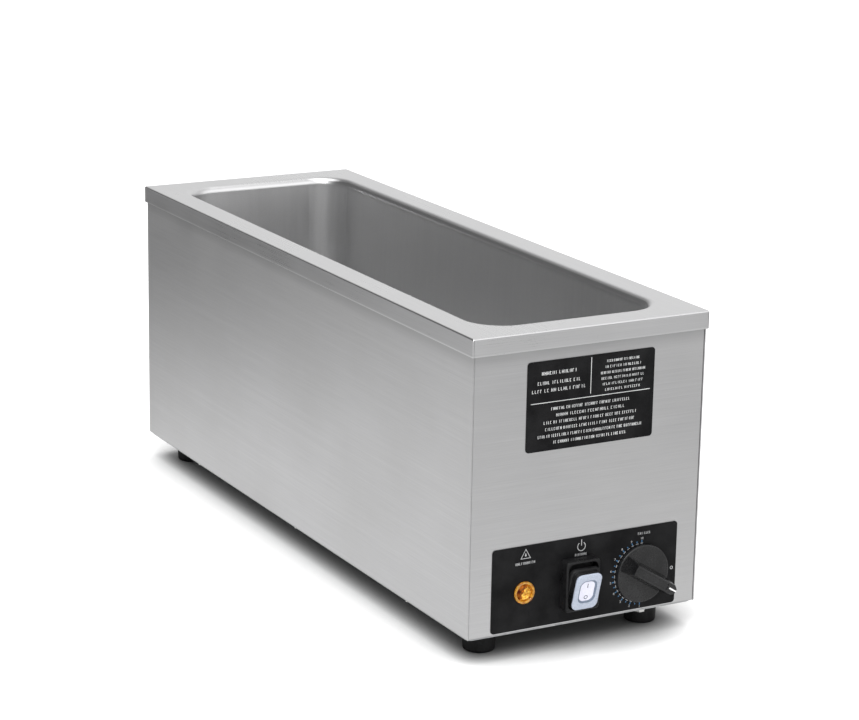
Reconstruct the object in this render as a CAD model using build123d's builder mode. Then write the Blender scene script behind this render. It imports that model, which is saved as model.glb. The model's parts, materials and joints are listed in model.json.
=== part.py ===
from build123d import *
from math import cos, radians, sin, tan
import os

# Countertop steam table for one long half-size food pan.
# X runs left to right, -Y is the control front, Z is up.  The origin is on the table,
# below the centre of the cabinet.  All sizes are in millimetres.
os.makedirs("parts", exist_ok=True)

# Sheet metal cabinet
SHEET = 0.9
BEND = 1.2
PANEL_BEND = 0.6
SEAM = 0.2
RIM_WIDTH = 188.5
RIM_LENGTH = 552.5
RIM_TOP = 232.0
LIP_DEPTH = 13.0
LIP_OVERHANG = 1.5
CASE_WIDTH = RIM_WIDTH - 2 * LIP_OVERHANG
CASE_LENGTH = RIM_LENGTH - 2 * LIP_OVERHANG
CASE_BOTTOM = 19.2
CASE_TOP = RIM_TOP - SHEET
FRONT_Y = -CASE_LENGTH / 2
BACK_Y = CASE_LENGTH / 2
SIDE_X = CASE_WIDTH / 2
FLANGE = 12.0

# Drawn water well, sized at the sharp corner of its wall and the rim
WELL_WIDTH = 140.9
WELL_LENGTH = 502.3
WELL_DEPTH = 158.75
WELL_DRAFT = 1.5
WELL_CORNER = 25.0
WELL_FLOOR_RADIUS = 20.0
RIM_RADIUS = 5.5
WELL_UNDERSIDE = RIM_TOP - WELL_DEPTH - SHEET

# Bottom plate and feet
PLATE_INSET = 1.5
PLATE_TOP = CASE_BOTTOM
PLATE_UNDERSIDE = PLATE_TOP - SHEET
FOOT_X = 66.5
FOOT_Y = 245.5
FOOT_RADIUS = 12.0
FOOT_SOLE_RADIUS = 11.3
FOOT_BORE = 2.8
FOOT_RECESS_RADIUS = 5.6
FOOT_RECESS_DEPTH = 8.0

# Control front: every centre is (x, z)
FACEPLATE_SIZE = (150.0, 60.5)
FACEPLATE_CENTRE = (0.5, 51.1)
FACEPLATE_THICKNESS = 0.5
LABEL_SIZE = (101.6, 63.5)
LABEL_CENTRE = (0.0, 178.8)
LABEL_THICKNESS = 0.4
PLATE_CORNER = 2.5
PILOT_CENTRE = (-49.0, 47.7)
SWITCH_CENTRE = (-6.5, 48.6)
KNOB_CENTRE = (46.2, 47.4)

# Rocker switch under its rubber boot; heights are measured out from the front panel
SWITCH_CUTOUT = (22.2, 30.2)
BOOT_SIZE = (27.0, 36.6)
BOOT_FRONT = 9.3
BOOT_OPENING = (24.0, 33.4)
BEZEL_SIZE = (23.8, 33.2)
BEZEL_FRONT = 1.5
PIVOT_OUT = 3.5
ROCKER_TILT = 15.0
TRUNNION_RADIUS = 1.5
RUNNING_CLEARANCE = 0.05
EAR_INNER_X = 7.0
EAR_OUTER_X = 9.0

# Thermostat and knob
KNOB_RADIUS = 21.2
KNOB_BACK = 1.5
KNOB_FACE = 4.2
KNOB_TOP = 18.4
POINTER_ANGLE = -32.0
SHAFT_RADIUS = 3.0
SHAFT_FLAT = 1.8
THERMOSTAT_SCREW_SPREAD = 14.0

# Heating under the well
SPREADER_TOP = WELL_UNDERSIDE
SPREADER_THICKNESS = 2.0
ELEMENT_RADIUS = 3.3
ELEMENT_SPREAD = 28.0
ELEMENT_Z = SPREADER_TOP - SPREADER_THICKNESS - ELEMENT_RADIUS - 0.05
ELEMENT_FRONT_Y = -196.0
ELEMENT_BEND_Y = 170.0
CLAMP_ROWS = (-150.0, 0.0, 150.0)
CLAMP_TOP = ELEMENT_Z - ELEMENT_RADIUS - 0.1
CLAMP_THICKNESS = 1.4
STUD_RADIUS = 2.0
SHIELD_TOP = 43.9
SHIELD_FRONT_Y = -205.0
SHIELD_BACK_Y = 230.0
SHIELD_X = 76.0

# Power entry at the rear
GLAND_CENTRE = (55.0, 42.0)
GLAND_BORE = 5.0
GROUND_CENTRE = (-50.0, 36.0)
TERMINAL_POLES = (-20.0, -8.0, 4.0, 16.0)
TERMINAL_FACE_Y = 250.0
WIRE_RADIUS = 1.3


def save(piece, name):
    """Label one finished piece and write it as its own file."""
    piece.part.label = name
    export_step(piece.part, f"parts/{name}.step")


def block(x, y, z, mode=Mode.ADD):
    """A box between the low and high limits given along each axis."""
    with Locations(((x[0] + x[1]) / 2, (y[0] + y[1]) / 2, (z[0] + z[1]) / 2)):
        Box(x[1] - x[0], y[1] - y[0], z[1] - z[0], mode=mode)


def front_plane(out=0.0):
    """The casing's front face, moved out by this much; its sketch axes are X and Z."""
    return Plane(origin=(0, FRONT_Y - out, 0), x_dir=(1, 0, 0), z_dir=(0, -1, 0))


def back_plane(out=0.0):
    """The casing's rear face, moved out by this much; its sketch axes are -X and Z."""
    return Plane(origin=(0, BACK_Y + out, 0), x_dir=(-1, 0, 0), z_dir=(0, 1, 0))


def knob_plane(out):
    """A plane across the knob; its first sketch axis runs along the pointer."""
    turn = radians(POINTER_ANGLE)
    centre = (KNOB_CENTRE[0], FRONT_Y - out, KNOB_CENTRE[1])
    return Plane(origin=centre, x_dir=(cos(turn), 0, sin(turn)), z_dir=(0, -1, 0))


def rocker_plane(height):
    """A plane parallel to the tilted rocker face, this high above the pivot."""
    tilt = radians(ROCKER_TILT)
    outward = Vector(0, -cos(tilt), -sin(tilt))
    pivot = Vector(SWITCH_CENTRE[0], FRONT_Y - PIVOT_OUT, SWITCH_CENTRE[1])
    return Plane(origin=pivot + outward * height, x_dir=(1, 0, 0), z_dir=outward)


def round_pegs(plane, points, radius, length, mode=Mode.ADD):
    """Round pegs, or with Mode.SUBTRACT round holes, standing on a plane."""
    with BuildSketch(plane) as outline:
        with Locations(*points):
            Circle(radius)
    extrude(outline.sketch, amount=length, mode=mode)


def hexagons(plane, points, across_flats, height, bore=0.0):
    """Hexagonal nuts or screw heads standing on a plane."""
    with BuildSketch(plane) as outline:
        with Locations(*points):
            RegularPolygon(across_flats / 2, 6, major_radius=False)
            if bore:
                Circle(bore, mode=Mode.SUBTRACT)
    extrude(outline.sketch, amount=height)


def rounded_slab(plane, centre, size, corner, height, mode=Mode.ADD, taper=0.0):
    """A rounded rectangle standing on a plane."""
    with BuildSketch(plane) as outline:
        with Locations(centre):
            RectangleRounded(size[0], size[1], corner)
    extrude(outline.sketch, amount=height, mode=mode, taper=taper)


def bend_radii(points, largest):
    """The radius of each corner of a route: as large as its two runs allow."""
    radii = []
    for before, corner, after in zip(points, points[1:], points[2:]):
        run_in = Vector(*corner) - Vector(*before)
        run_out = Vector(*after) - Vector(*corner)
        half_turn = radians(run_in.get_angle(run_out) / 2)
        shorter = min(run_in.length, run_out.length)
        radii.append(min(largest, 0.45 * shorter / tan(half_turn)))
    return radii


def round_route(points, radius, largest_bend):
    """A solid round wire or tube along straight runs joined by tangent arcs."""
    with BuildLine() as route:
        FilletPolyline(*points, radius=bend_radii(points, largest_bend))
    with BuildSketch(Plane(origin=route.line @ 0, z_dir=route.line % 0)) as section:
        Circle(radius)
    sweep(section.sketch, path=route.line)


# ---------------------------------------------------------------- cabinet shell
CORNER_POSTS = [(x, y) for x in (-FOOT_X, FOOT_X) for y in (-FOOT_Y, FOOT_Y)]
RIM_STUDS = [(x, y) for x in (-86.0, 86.0) for y in (-200.0, -70.0, 70.0, 200.0)]
SIDE_SCREWS = [(x, y) for x in (-85.0, 85.0) for y in (-180.0, 0.0, 180.0)]
FRONT_SCREW = (51.0, -268.0)
BACK_SCREWS = [(-51.0, 268.0), (51.0, 268.0)]
PLATE_SCREWS = SIDE_SCREWS + BACK_SCREWS + [FRONT_SCREW]
DOWN_FROM_RIM = Plane(origin=(0, 0, RIM_TOP), x_dir=(1, 0, 0), z_dir=(0, 0, -1))

# The hollow of the water well, and the outside of its drawn wall.
with BuildPart() as well_hollow:
    rounded_slab(
        DOWN_FROM_RIM, (0, 0), (WELL_WIDTH, WELL_LENGTH), WELL_CORNER, WELL_DEPTH, taper=WELL_DRAFT
    )
    fillet(well_hollow.faces().sort_by(Axis.Z)[0].edges(), WELL_FLOOR_RADIUS)

with BuildPart() as well_outside:
    rounded_slab(
        DOWN_FROM_RIM.offset(SHEET),
        (0, 0),
        (WELL_WIDTH + 2 * SHEET, WELL_LENGTH + 2 * SHEET),
        WELL_CORNER + SHEET,
        WELL_DEPTH,
        taper=WELL_DRAFT,
    )
    fillet(well_outside.faces().sort_by(Axis.Z)[0].edges(), WELL_FLOOR_RADIUS + SHEET)

# The rim, its turned-down lip and the water well are drawn from one sheet.
with BuildPart() as well_and_rim:
    rounded_slab(
        Plane.XY.offset(RIM_TOP - LIP_DEPTH), (0, 0), (RIM_WIDTH, RIM_LENGTH), 0.8, LIP_DEPTH
    )
    fillet(well_and_rim.faces().sort_by(Axis.Z)[-1].edges(), BEND)
    block(
        (-RIM_WIDTH / 2 + SHEET, RIM_WIDTH / 2 - SHEET),
        (-RIM_LENGTH / 2 + SHEET, RIM_LENGTH / 2 - SHEET),
        (RIM_TOP - LIP_DEPTH, RIM_TOP - SHEET),
        Mode.SUBTRACT,
    )
    add(well_outside.part)
    under_rim = well_and_rim.edges().filter_by_position(Axis.Z, CASE_TOP - 0.01, CASE_TOP + 0.01)
    fillet(
        under_rim.filter_by_position(Axis.X, -WELL_WIDTH / 2 - 2, WELL_WIDTH / 2 + 2).filter_by_position(
            Axis.Y, -WELL_LENGTH / 2 - 2, WELL_LENGTH / 2 + 2
        ),
        RIM_RADIUS + SHEET,
    )
    add(well_hollow.part, mode=Mode.SUBTRACT)
    mouth = well_and_rim.edges().filter_by_position(Axis.Z, RIM_TOP - 0.01, RIM_TOP + 0.01)
    fillet(
        mouth.filter_by_position(Axis.X, -WELL_WIDTH / 2 - 1, WELL_WIDTH / 2 + 1).filter_by_position(
            Axis.Y, -WELL_LENGTH / 2 - 1, WELL_LENGTH / 2 + 1
        ),
        RIM_RADIUS,
    )
    # the open seams where the front and rear lips meet the side lips
    for side in (-1, 1):
        for end in (-1, 1):
            seam_x = side * (RIM_WIDTH / 2 - SHEET - SEAM / 2)
            lip_y = end * RIM_LENGTH / 2
            block(
                (seam_x - SEAM / 2, seam_x + SEAM / 2),
                (lip_y - SHEET - 0.1, lip_y + SHEET + 0.1),
                (RIM_TOP - LIP_DEPTH - 1, RIM_TOP - BEND),
                Mode.SUBTRACT,
            )
save(well_and_rim, "well_and_rim")

# The left, back and right of the casing are one folded sheet with turned-in flanges.
with BuildPart() as body_wrapper:
    block((-SIDE_X, SIDE_X), (FRONT_Y, BACK_Y), (CASE_BOTTOM, CASE_TOP))
    fillet(body_wrapper.edges().filter_by(Axis.Z).group_by(Axis.Y)[-1], BEND)
    lower_edges = body_wrapper.faces().sort_by(Axis.Z)[0].edges()
    fillet(lower_edges.filter_by_position(Axis.Y, FRONT_Y + 1, BACK_Y + 1), BEND)
    block(
        (-SIDE_X + SHEET, SIDE_X - SHEET),
        (FRONT_Y - 1, BACK_Y - SHEET),
        (CASE_BOTTOM + SHEET, CASE_TOP - SHEET),
        Mode.SUBTRACT,
    )
    block(
        (-SIDE_X + SHEET + FLANGE, SIDE_X - SHEET - FLANGE),
        (FRONT_Y - 1, BACK_Y - SHEET - FLANGE),
        (CASE_BOTTOM - 1, CASE_TOP + 1),
        Mode.SUBTRACT,
    )
    block(
        (-SIDE_X + SHEET, SIDE_X - SHEET),
        (FRONT_Y - 1, FRONT_Y + FLANGE + 1),
        (CASE_BOTTOM - 1, CASE_TOP + 1),
        Mode.SUBTRACT,
    )
    round_pegs(Plane.XY.offset(CASE_TOP - 2), RIM_STUDS, 2.3, 3, Mode.SUBTRACT)
    round_pegs(
        Plane.XY.offset(CASE_BOTTOM - 1), SIDE_SCREWS + BACK_SCREWS, 1.6, 3, Mode.SUBTRACT
    )
    round_pegs(
        back_plane(-2), [(-GLAND_CENTRE[0], GLAND_CENTRE[1])], 10.2, 3, Mode.SUBTRACT
    )
save(body_wrapper, "body_wrapper")

# The front is a shallow pan with its edges folded back, set between the two side sheets.
PANEL_X = SIDE_X - SHEET - SEAM
with BuildPart() as front_panel:
    block((-PANEL_X, PANEL_X), (FRONT_Y, FRONT_Y + FLANGE), (CASE_BOTTOM, CASE_TOP))
    fillet(front_panel.edges().filter_by(Axis.Z).group_by(Axis.Y)[0], PANEL_BEND)
    fillet(front_panel.faces().sort_by(Axis.Z)[0].edges().sort_by(Axis.Y)[0], BEND)
    block(
        (-PANEL_X + SHEET, PANEL_X - SHEET),
        (FRONT_Y + SHEET, FRONT_Y + FLANGE + 1),
        (CASE_BOTTOM + SHEET, CASE_TOP - SHEET),
        Mode.SUBTRACT,
    )
    round_pegs(front_plane(-2), [PILOT_CENTRE], 6.3, 3, Mode.SUBTRACT)
    round_pegs(front_plane(-2), [KNOB_CENTRE], 5.0, 3, Mode.SUBTRACT)
    rounded_slab(front_plane(-2), SWITCH_CENTRE, SWITCH_CUTOUT, 0.8, 3, Mode.SUBTRACT)
    thermostat_screw_points = [
        (KNOB_CENTRE[0] + side * THERMOSTAT_SCREW_SPREAD, KNOB_CENTRE[1]) for side in (-1, 1)
    ]
    round_pegs(front_plane(-2), thermostat_screw_points, 2.2, 3, Mode.SUBTRACT)
    round_pegs(Plane.XY.offset(CASE_BOTTOM - 1), [FRONT_SCREW], 1.6, 3, Mode.SUBTRACT)
save(front_panel, "front_panel")

# ---------------------------------------------------------------- bottom plate and feet
with BuildPart() as bottom_plate:
    rounded_slab(
        Plane.XY.offset(PLATE_UNDERSIDE),
        (0, 0),
        (CASE_WIDTH - 2 * PLATE_INSET, CASE_LENGTH - 2 * PLATE_INSET),
        4.0,
        SHEET,
    )
    with BuildSketch(Plane.XY.offset(PLATE_UNDERSIDE)):
        with GridLocations(34.0, 18.0, 2, 17):
            SlotOverall(24.0, 3.2)
    extrude(amount=SHEET, mode=Mode.SUBTRACT)
    round_pegs(Plane.XY.offset(PLATE_UNDERSIDE), CORNER_POSTS, FOOT_BORE, SHEET, Mode.SUBTRACT)
    round_pegs(Plane.XY.offset(PLATE_UNDERSIDE), PLATE_SCREWS, 2.2, SHEET, Mode.SUBTRACT)
save(bottom_plate, "bottom_plate")

with BuildPart() as bottom_plate_screws:
    hexagons(Plane.XY.offset(PLATE_UNDERSIDE - 2.8), PLATE_SCREWS, 7.0, 2.8)
    fillet(bottom_plate_screws.faces().group_by(Axis.Z)[0].edges(), 0.6)
    round_pegs(Plane.XY.offset(PLATE_UNDERSIDE - 0.8), PLATE_SCREWS, 4.6, 0.8)
    round_pegs(Plane.XY.offset(PLATE_UNDERSIDE - 0.5), PLATE_SCREWS, 1.5, 8.5)
save(bottom_plate_screws, "bottom_plate_screws")

foot_names = {
    "foot_front_left": (-FOOT_X, -FOOT_Y),
    "foot_front_right": (FOOT_X, -FOOT_Y),
    "foot_rear_left": (-FOOT_X, FOOT_Y),
    "foot_rear_right": (FOOT_X, FOOT_Y),
}
for foot_name, foot_place in foot_names.items():
    with BuildPart() as foot:
        with BuildSketch(Plane(origin=(*foot_place, 0), x_dir=(1, 0, 0), z_dir=(0, -1, 0))):
            with BuildLine():
                Polyline(
                    (FOOT_RECESS_RADIUS, 0),
                    (FOOT_SOLE_RADIUS, 0),
                    (FOOT_RADIUS, PLATE_UNDERSIDE),
                    (FOOT_BORE, PLATE_UNDERSIDE),
                    (FOOT_BORE, FOOT_RECESS_DEPTH),
                    (FOOT_RECESS_RADIUS, FOOT_RECESS_DEPTH),
                    close=True,
                )
            make_face()
        revolve(axis=Axis((*foot_place, 0), (0, 0, 1)))
        fillet(foot.edges().filter_by(GeomType.CIRCLE).group_by(Axis.Z)[0].sort_by(SortBy.RADIUS)[-1], 1.4)
        fillet(foot.edges().filter_by(GeomType.CIRCLE).group_by(Axis.Z)[-1].sort_by(SortBy.RADIUS)[-1], 0.6)
    save(foot, foot_name)

with BuildPart() as foot_screws:
    round_pegs(Plane.XY.offset(FOOT_RECESS_DEPTH - 4.4), CORNER_POSTS, 4.6, 3.4)
    round_pegs(Plane.XY.offset(FOOT_RECESS_DEPTH - 1.2), CORNER_POSTS, 2.45, 20.0)
    with BuildSketch(Plane.XY.offset(FOOT_RECESS_DEPTH - 4.4)):
        with Locations(*CORNER_POSTS):
            Rectangle(5.0, 1.1)
            Rectangle(1.1, 5.0)
    extrude(amount=1.8, mode=Mode.SUBTRACT)
save(foot_screws, "foot_screws")

with BuildPart() as foot_washers:
    round_pegs(Plane.XY.offset(FOOT_RECESS_DEPTH - 1.0), CORNER_POSTS, 5.3, 1.0)
    round_pegs(Plane.XY.offset(FOOT_RECESS_DEPTH - 1.0), CORNER_POSTS, 2.6, 1.0, Mode.SUBTRACT)
save(foot_washers, "foot_washers")

# ---------------------------------------------------------------- front graphics plates
with BuildPart() as control_faceplate:
    rounded_slab(
        front_plane(), FACEPLATE_CENTRE, FACEPLATE_SIZE, PLATE_CORNER, FACEPLATE_THICKNESS
    )
    round_pegs(front_plane(), [PILOT_CENTRE], 6.3, FACEPLATE_THICKNESS, Mode.SUBTRACT)
    round_pegs(front_plane(), [KNOB_CENTRE], 5.0, FACEPLATE_THICKNESS, Mode.SUBTRACT)
    round_pegs(
        front_plane(), thermostat_screw_points, 2.2, FACEPLATE_THICKNESS, Mode.SUBTRACT
    )
    rounded_slab(
        front_plane(), SWITCH_CENTRE, SWITCH_CUTOUT, 0.8, FACEPLATE_THICKNESS, Mode.SUBTRACT
    )
save(control_faceplate, "control_faceplate")

with BuildPart() as information_plate:
    rounded_slab(front_plane(), LABEL_CENTRE, LABEL_SIZE, PLATE_CORNER, LABEL_THICKNESS)
save(information_plate, "information_plate")

# ---------------------------------------------------------------- amber pilot lamp
PILOT_AXIS = Axis((PILOT_CENTRE[0], FRONT_Y, PILOT_CENTRE[1]), (0, 1, 0))
# sketch axes: distance from the lamp's axis, and height out from the front panel
PILOT_SECTION = Plane(
    origin=(PILOT_CENTRE[0], FRONT_Y, PILOT_CENTRE[1]), x_dir=(1, 0, 0), z_dir=(0, 0, -1)
)

with BuildPart() as pilot_lens:
    with BuildSketch(PILOT_SECTION):
        with BuildLine():
            Polyline((0, -3.0), (5.2, -3.0), (5.2, 0.5), (8.0, 0.5), (8.0, 1.6))
            ThreePointArc((8.0, 1.6), (7.1, 2.5), (6.2, 1.6))
            Polyline((6.2, 1.6), (5.4, 1.3), (0, 1.3), (0, -3.0))
        make_face()
    revolve(axis=PILOT_AXIS)
save(pilot_lens, "pilot_lens")

with BuildPart() as pilot_body:
    round_pegs(front_plane(-20.0), [PILOT_CENTRE], 6.1, 20.0 + FACEPLATE_THICKNESS)
    round_pegs(front_plane(-16.0), [PILOT_CENTRE], 5.25, 17.0, Mode.SUBTRACT)
    fillet(pilot_body.faces().sort_by(Axis.Y)[-1].edges(), 0.8)
save(pilot_body, "pilot_body")

with BuildPart() as pilot_neon_bulb:
    round_pegs(front_plane(-16.0), [PILOT_CENTRE], 2.6, 10.0)
    fillet(pilot_neon_bulb.faces().sort_by(Axis.Y)[0].edges(), 2.2)
save(pilot_neon_bulb, "pilot_neon_bulb")

with BuildPart() as pilot_clip:
    rounded_slab(front_plane(-1.7), PILOT_CENTRE, (18.0, 18.0), 3.0, 0.8)
    round_pegs(front_plane(-1.7), [PILOT_CENTRE], 6.15, 0.8, Mode.SUBTRACT)
save(pilot_clip, "pilot_clip")

with BuildPart() as pilot_terminals:
    for side in (-1, 1):
        centre_x = PILOT_CENTRE[0] + side * 3.0
        block(
            (centre_x - 0.4, centre_x + 0.4),
            (FRONT_Y + 20.0, FRONT_Y + 26.0),
            (PILOT_CENTRE[1] - 2.4, PILOT_CENTRE[1] + 2.4),
        )
save(pilot_terminals, "pilot_terminals")

# ---------------------------------------------------------------- power rocker switch
SWITCH_X, SWITCH_Z = SWITCH_CENTRE
BODY_DEPTH = 26.0

with BuildPart() as switch_body:
    rounded_slab(front_plane(-BODY_DEPTH), SWITCH_CENTRE, (21.8, 29.8), 0.6, BODY_DEPTH + 0.5)
    rounded_slab(front_plane(0.5), SWITCH_CENTRE, BEZEL_SIZE, 4.4, BEZEL_FRONT - 0.5)
    # a pocket for the rocker's heel
    rounded_slab(front_plane(-4.0), SWITCH_CENTRE, (13.4, 12.0), 0.8, 6.0, Mode.SUBTRACT)
    # two ears that carry the rocker's trunnions
    for side in (-1, 1):
        low, high = sorted((SWITCH_X + side * EAR_INNER_X, SWITCH_X + side * EAR_OUTER_X))
        block(
            (low, high),
            (FRONT_Y - PIVOT_OUT - 2.4, FRONT_Y - 1.0),
            (SWITCH_Z - 2.6, SWITCH_Z + 2.6),
        )
    with BuildSketch(Plane.YZ.offset(SWITCH_X - EAR_OUTER_X - 1)):
        with Locations((FRONT_Y - PIVOT_OUT, SWITCH_Z)):
            Circle(TRUNNION_RADIUS + RUNNING_CLEARANCE)
    extrude(amount=2 * EAR_OUTER_X + 2, mode=Mode.SUBTRACT)
save(switch_body, "switch_body")

with BuildPart() as switch_boot:
    rounded_slab(
        front_plane(FACEPLATE_THICKNESS),
        SWITCH_CENTRE,
        BOOT_SIZE,
        2.5,
        BOOT_FRONT - FACEPLATE_THICKNESS,
    )
    fillet(switch_boot.faces().sort_by(Axis.Y)[0].edges(), 1.3)
    rounded_slab(front_plane(), SWITCH_CENTRE, BOOT_OPENING, 4.5, BOOT_FRONT + 1, Mode.SUBTRACT)
save(switch_boot, "switch_boot")

ROCKER_SKIRT = (23.4, 30.0)
ROCKER_CAP = (21.8, 29.0)
ROCKER_HOLLOW = (18.6, 25.6)
SKIRT_LOW = 2.3
SKIRT_HIGH = 6.0
CAP_HIGH = 9.6
WINDOW_HIGH = 11.5

# The rubber cap that tilts with the rocker: a skirt, then a narrower neck.
with BuildPart() as rocker_boot:
    rounded_slab(
        rocker_plane(SKIRT_LOW), (0, 0), ROCKER_SKIRT, 4.4, SKIRT_HIGH - SKIRT_LOW
    )
    fillet(rocker_boot.faces().sort_by(Axis.Y)[0].edges(), 1.2)
    rounded_slab(rocker_plane(SKIRT_HIGH - 1), (0, 0), ROCKER_CAP, 4.6, 2.4)
    rounded_slab(rocker_plane(SKIRT_HIGH + 1), (0, 0), (20.9, 28.6), 4.6, CAP_HIGH - SKIRT_HIGH - 1)
    rounded_slab(rocker_plane(0), (0, 0), ROCKER_HOLLOW, 3.4, CAP_HIGH + 1, Mode.SUBTRACT)
save(rocker_boot, "rocker_boot")

# The clear window bonded into the cap, with a thin panel in the middle.
with BuildPart() as rocker_window:
    rounded_slab(
        rocker_plane(CAP_HIGH), (0, 0), (20.5, 28.3), 4.6, WINDOW_HIGH - CAP_HIGH
    )
    fillet(rocker_window.faces().sort_by(Axis.Y)[0].edges(), 0.7)
    rounded_slab(rocker_plane(CAP_HIGH - 1.0), (0, 0), (18.5, 25.5), 3.3, 1.0)
    rounded_slab(rocker_plane(WINDOW_HIGH - 1.0), (0, 0.4), (14.0, 18.4), 5.0, 2.0, Mode.SUBTRACT)
save(rocker_window, "rocker_window")

PADDLE_HIGH = CAP_HIGH - 1.1
with BuildPart() as rocker_paddle:
    rounded_slab(rocker_plane(5.0), (0, 0), (17.8, 24.8), 2.6, PADDLE_HIGH - 5.0)
    rounded_slab(rocker_plane(-2.0), (0, 0), (12.4, 7.0), 0.8, 7.4)
    with BuildSketch(Plane.YZ.offset(SWITCH_X - EAR_OUTER_X + 0.2)):
        with Locations((FRONT_Y - PIVOT_OUT, SWITCH_Z)):
            Circle(TRUNNION_RADIUS)
    extrude(amount=2 * EAR_OUTER_X - 0.4)
save(rocker_paddle, "rocker_paddle")

# ---------------------------------------------------------------- thermostat and knob
GRIP_FOOT = [(-18.8, -6.0), (17.0, -6.0), (20.2, -3.0), (20.2, 3.0), (17.0, 6.0), (-18.8, 6.0)]
GRIP_TOP = [(-17.6, -3.5), (19.0, -3.6), (21.7, -1.7), (21.7, 1.7), (19.0, 3.6), (-17.6, 3.5)]

with BuildPart() as thermostat_knob:
    round_pegs(knob_plane(KNOB_BACK), [(0, 0)], KNOB_RADIUS, KNOB_FACE - KNOB_BACK)
    fillet(thermostat_knob.faces().sort_by(Axis.Y)[0].edges(), 1.2)
    with BuildSketch(knob_plane(KNOB_FACE - 0.4)):
        Polygon(*GRIP_FOOT, align=None)
    with BuildSketch(knob_plane(KNOB_TOP)):
        Polygon(*GRIP_TOP, align=None)
    loft()
    fillet(thermostat_knob.faces().sort_by(Axis.Y)[0].edges(), 0.7)
    # shallow thumb recess along the top of the grip
    rounded_slab(knob_plane(KNOB_TOP - 0.45), (-1.0, 0), (29.0, 4.4), 1.2, 1.0, Mode.SUBTRACT)
    # hollow back around the hub
    round_pegs(knob_plane(KNOB_BACK - 1), [(0, 0)], KNOB_RADIUS - 2.0, 2.3, Mode.SUBTRACT)
    round_pegs(knob_plane(KNOB_BACK + 0.5), [(0, 0)], 6.5, 1.5)
    with BuildSketch(knob_plane(KNOB_BACK)):
        Circle(SHAFT_RADIUS + RUNNING_CLEARANCE)
        with Locations((0, SHAFT_RADIUS)):
            Rectangle(7.0, 2 * (SHAFT_RADIUS - SHAFT_FLAT) - 0.1, mode=Mode.SUBTRACT)
    extrude(amount=10.8, mode=Mode.SUBTRACT)
    # groove for the painted pointer line
    rounded_slab(knob_plane(KNOB_TOP - 0.3), (18.4, 0), (7.0, 1.2), 0.3, 1.0, Mode.SUBTRACT)
save(thermostat_knob, "thermostat_knob")

with BuildPart() as knob_pointer_mark:
    rounded_slab(knob_plane(KNOB_TOP - 0.3), (18.3, 0), (6.6, 1.1), 0.25, 0.3)
save(knob_pointer_mark, "knob_pointer_mark")

with BuildPart() as thermostat_shaft:
    round_pegs(knob_plane(-11.0), [(0, 0)], SHAFT_RADIUS, 23.0)
    with BuildSketch(knob_plane(1.0)):
        with Locations((0, SHAFT_FLAT + 2.0)):
            Rectangle(8.0, 4.0)
    extrude(amount=12.0, mode=Mode.SUBTRACT)
save(thermostat_shaft, "thermostat_shaft")

BRACKET_BACK = SHEET + 1.2
THERMOSTAT_DEPTH = 18.0
with BuildPart() as thermostat_bracket:
    rounded_slab(front_plane(-BRACKET_BACK), KNOB_CENTRE, (42.0, 16.0), 3.0, 1.2)
    round_pegs(front_plane(-BRACKET_BACK), [KNOB_CENTRE], 4.8, 1.2, Mode.SUBTRACT)
    round_pegs(
        front_plane(-BRACKET_BACK), thermostat_screw_points, 1.95, 1.2, Mode.SUBTRACT
    )
save(thermostat_bracket, "thermostat_bracket")

with BuildPart() as thermostat_body:
    rounded_slab(
        front_plane(-THERMOSTAT_DEPTH),
        KNOB_CENTRE,
        (36.0, 34.0),
        2.0,
        THERMOSTAT_DEPTH - BRACKET_BACK,
    )
    round_pegs(front_plane(-BRACKET_BACK), [KNOB_CENTRE], 4.6, BRACKET_BACK + 0.2)
    round_pegs(
        front_plane(-12.0), [KNOB_CENTRE], SHAFT_RADIUS + RUNNING_CLEARANCE, 13.0, Mode.SUBTRACT
    )
    round_pegs(front_plane(-10.0), thermostat_screw_points, 2.2, 9.0, Mode.SUBTRACT)
save(thermostat_body, "thermostat_body")

with BuildPart() as thermostat_screws:
    round_pegs(front_plane(FACEPLATE_THICKNESS), thermostat_screw_points, 3.5, 1.6)
    round_pegs(front_plane(-8.0), thermostat_screw_points, 1.9, 8.5)
    with BuildSketch(front_plane(FACEPLATE_THICKNESS + 0.8)):
        with Locations(*thermostat_screw_points):
            Rectangle(4.4, 0.9)
            Rectangle(0.9, 4.4)
    extrude(amount=1.0, mode=Mode.SUBTRACT)
save(thermostat_screws, "thermostat_screws")

THERMOSTAT_BACK_Y = FRONT_Y + THERMOSTAT_DEPTH
TAB_POINTS = [(36.0, 40.0), (57.0, 40.0)]
SWITCH_TABS = [(SWITCH_X + x, SWITCH_Z + z) for x in (-5.5, 5.5) for z in (-8.0, 8.0)]
with BuildPart() as spade_terminals:
    for tab_points, root_y in ((TAB_POINTS, THERMOSTAT_BACK_Y), (SWITCH_TABS, FRONT_Y + BODY_DEPTH)):
        for tab_x, tab_z in tab_points:
            block((tab_x - 0.4, tab_x + 0.4), (root_y, root_y + 10.0), (tab_z - 3.1, tab_z + 3.1))
save(spade_terminals, "spade_terminals")

# ---------------------------------------------------------------- heating below the well
SPREADER_UNDERSIDE = SPREADER_TOP - SPREADER_THICKNESS
STUD_POINTS = [(0.0, row) for row in CLAMP_ROWS]
STUD_LOW = 37.5
RIM_STUD_LOW = 217.0

with BuildPart() as heat_spreader:
    rounded_slab(
        Plane.XY.offset(SPREADER_UNDERSIDE), (0, 0), (88.0, 420.0), 8.0, SPREADER_THICKNESS
    )
    round_pegs(
        Plane.XY.offset(SPREADER_UNDERSIDE),
        STUD_POINTS,
        STUD_RADIUS + 0.3,
        SPREADER_THICKNESS,
        Mode.SUBTRACT,
    )
save(heat_spreader, "heat_spreader")

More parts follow.
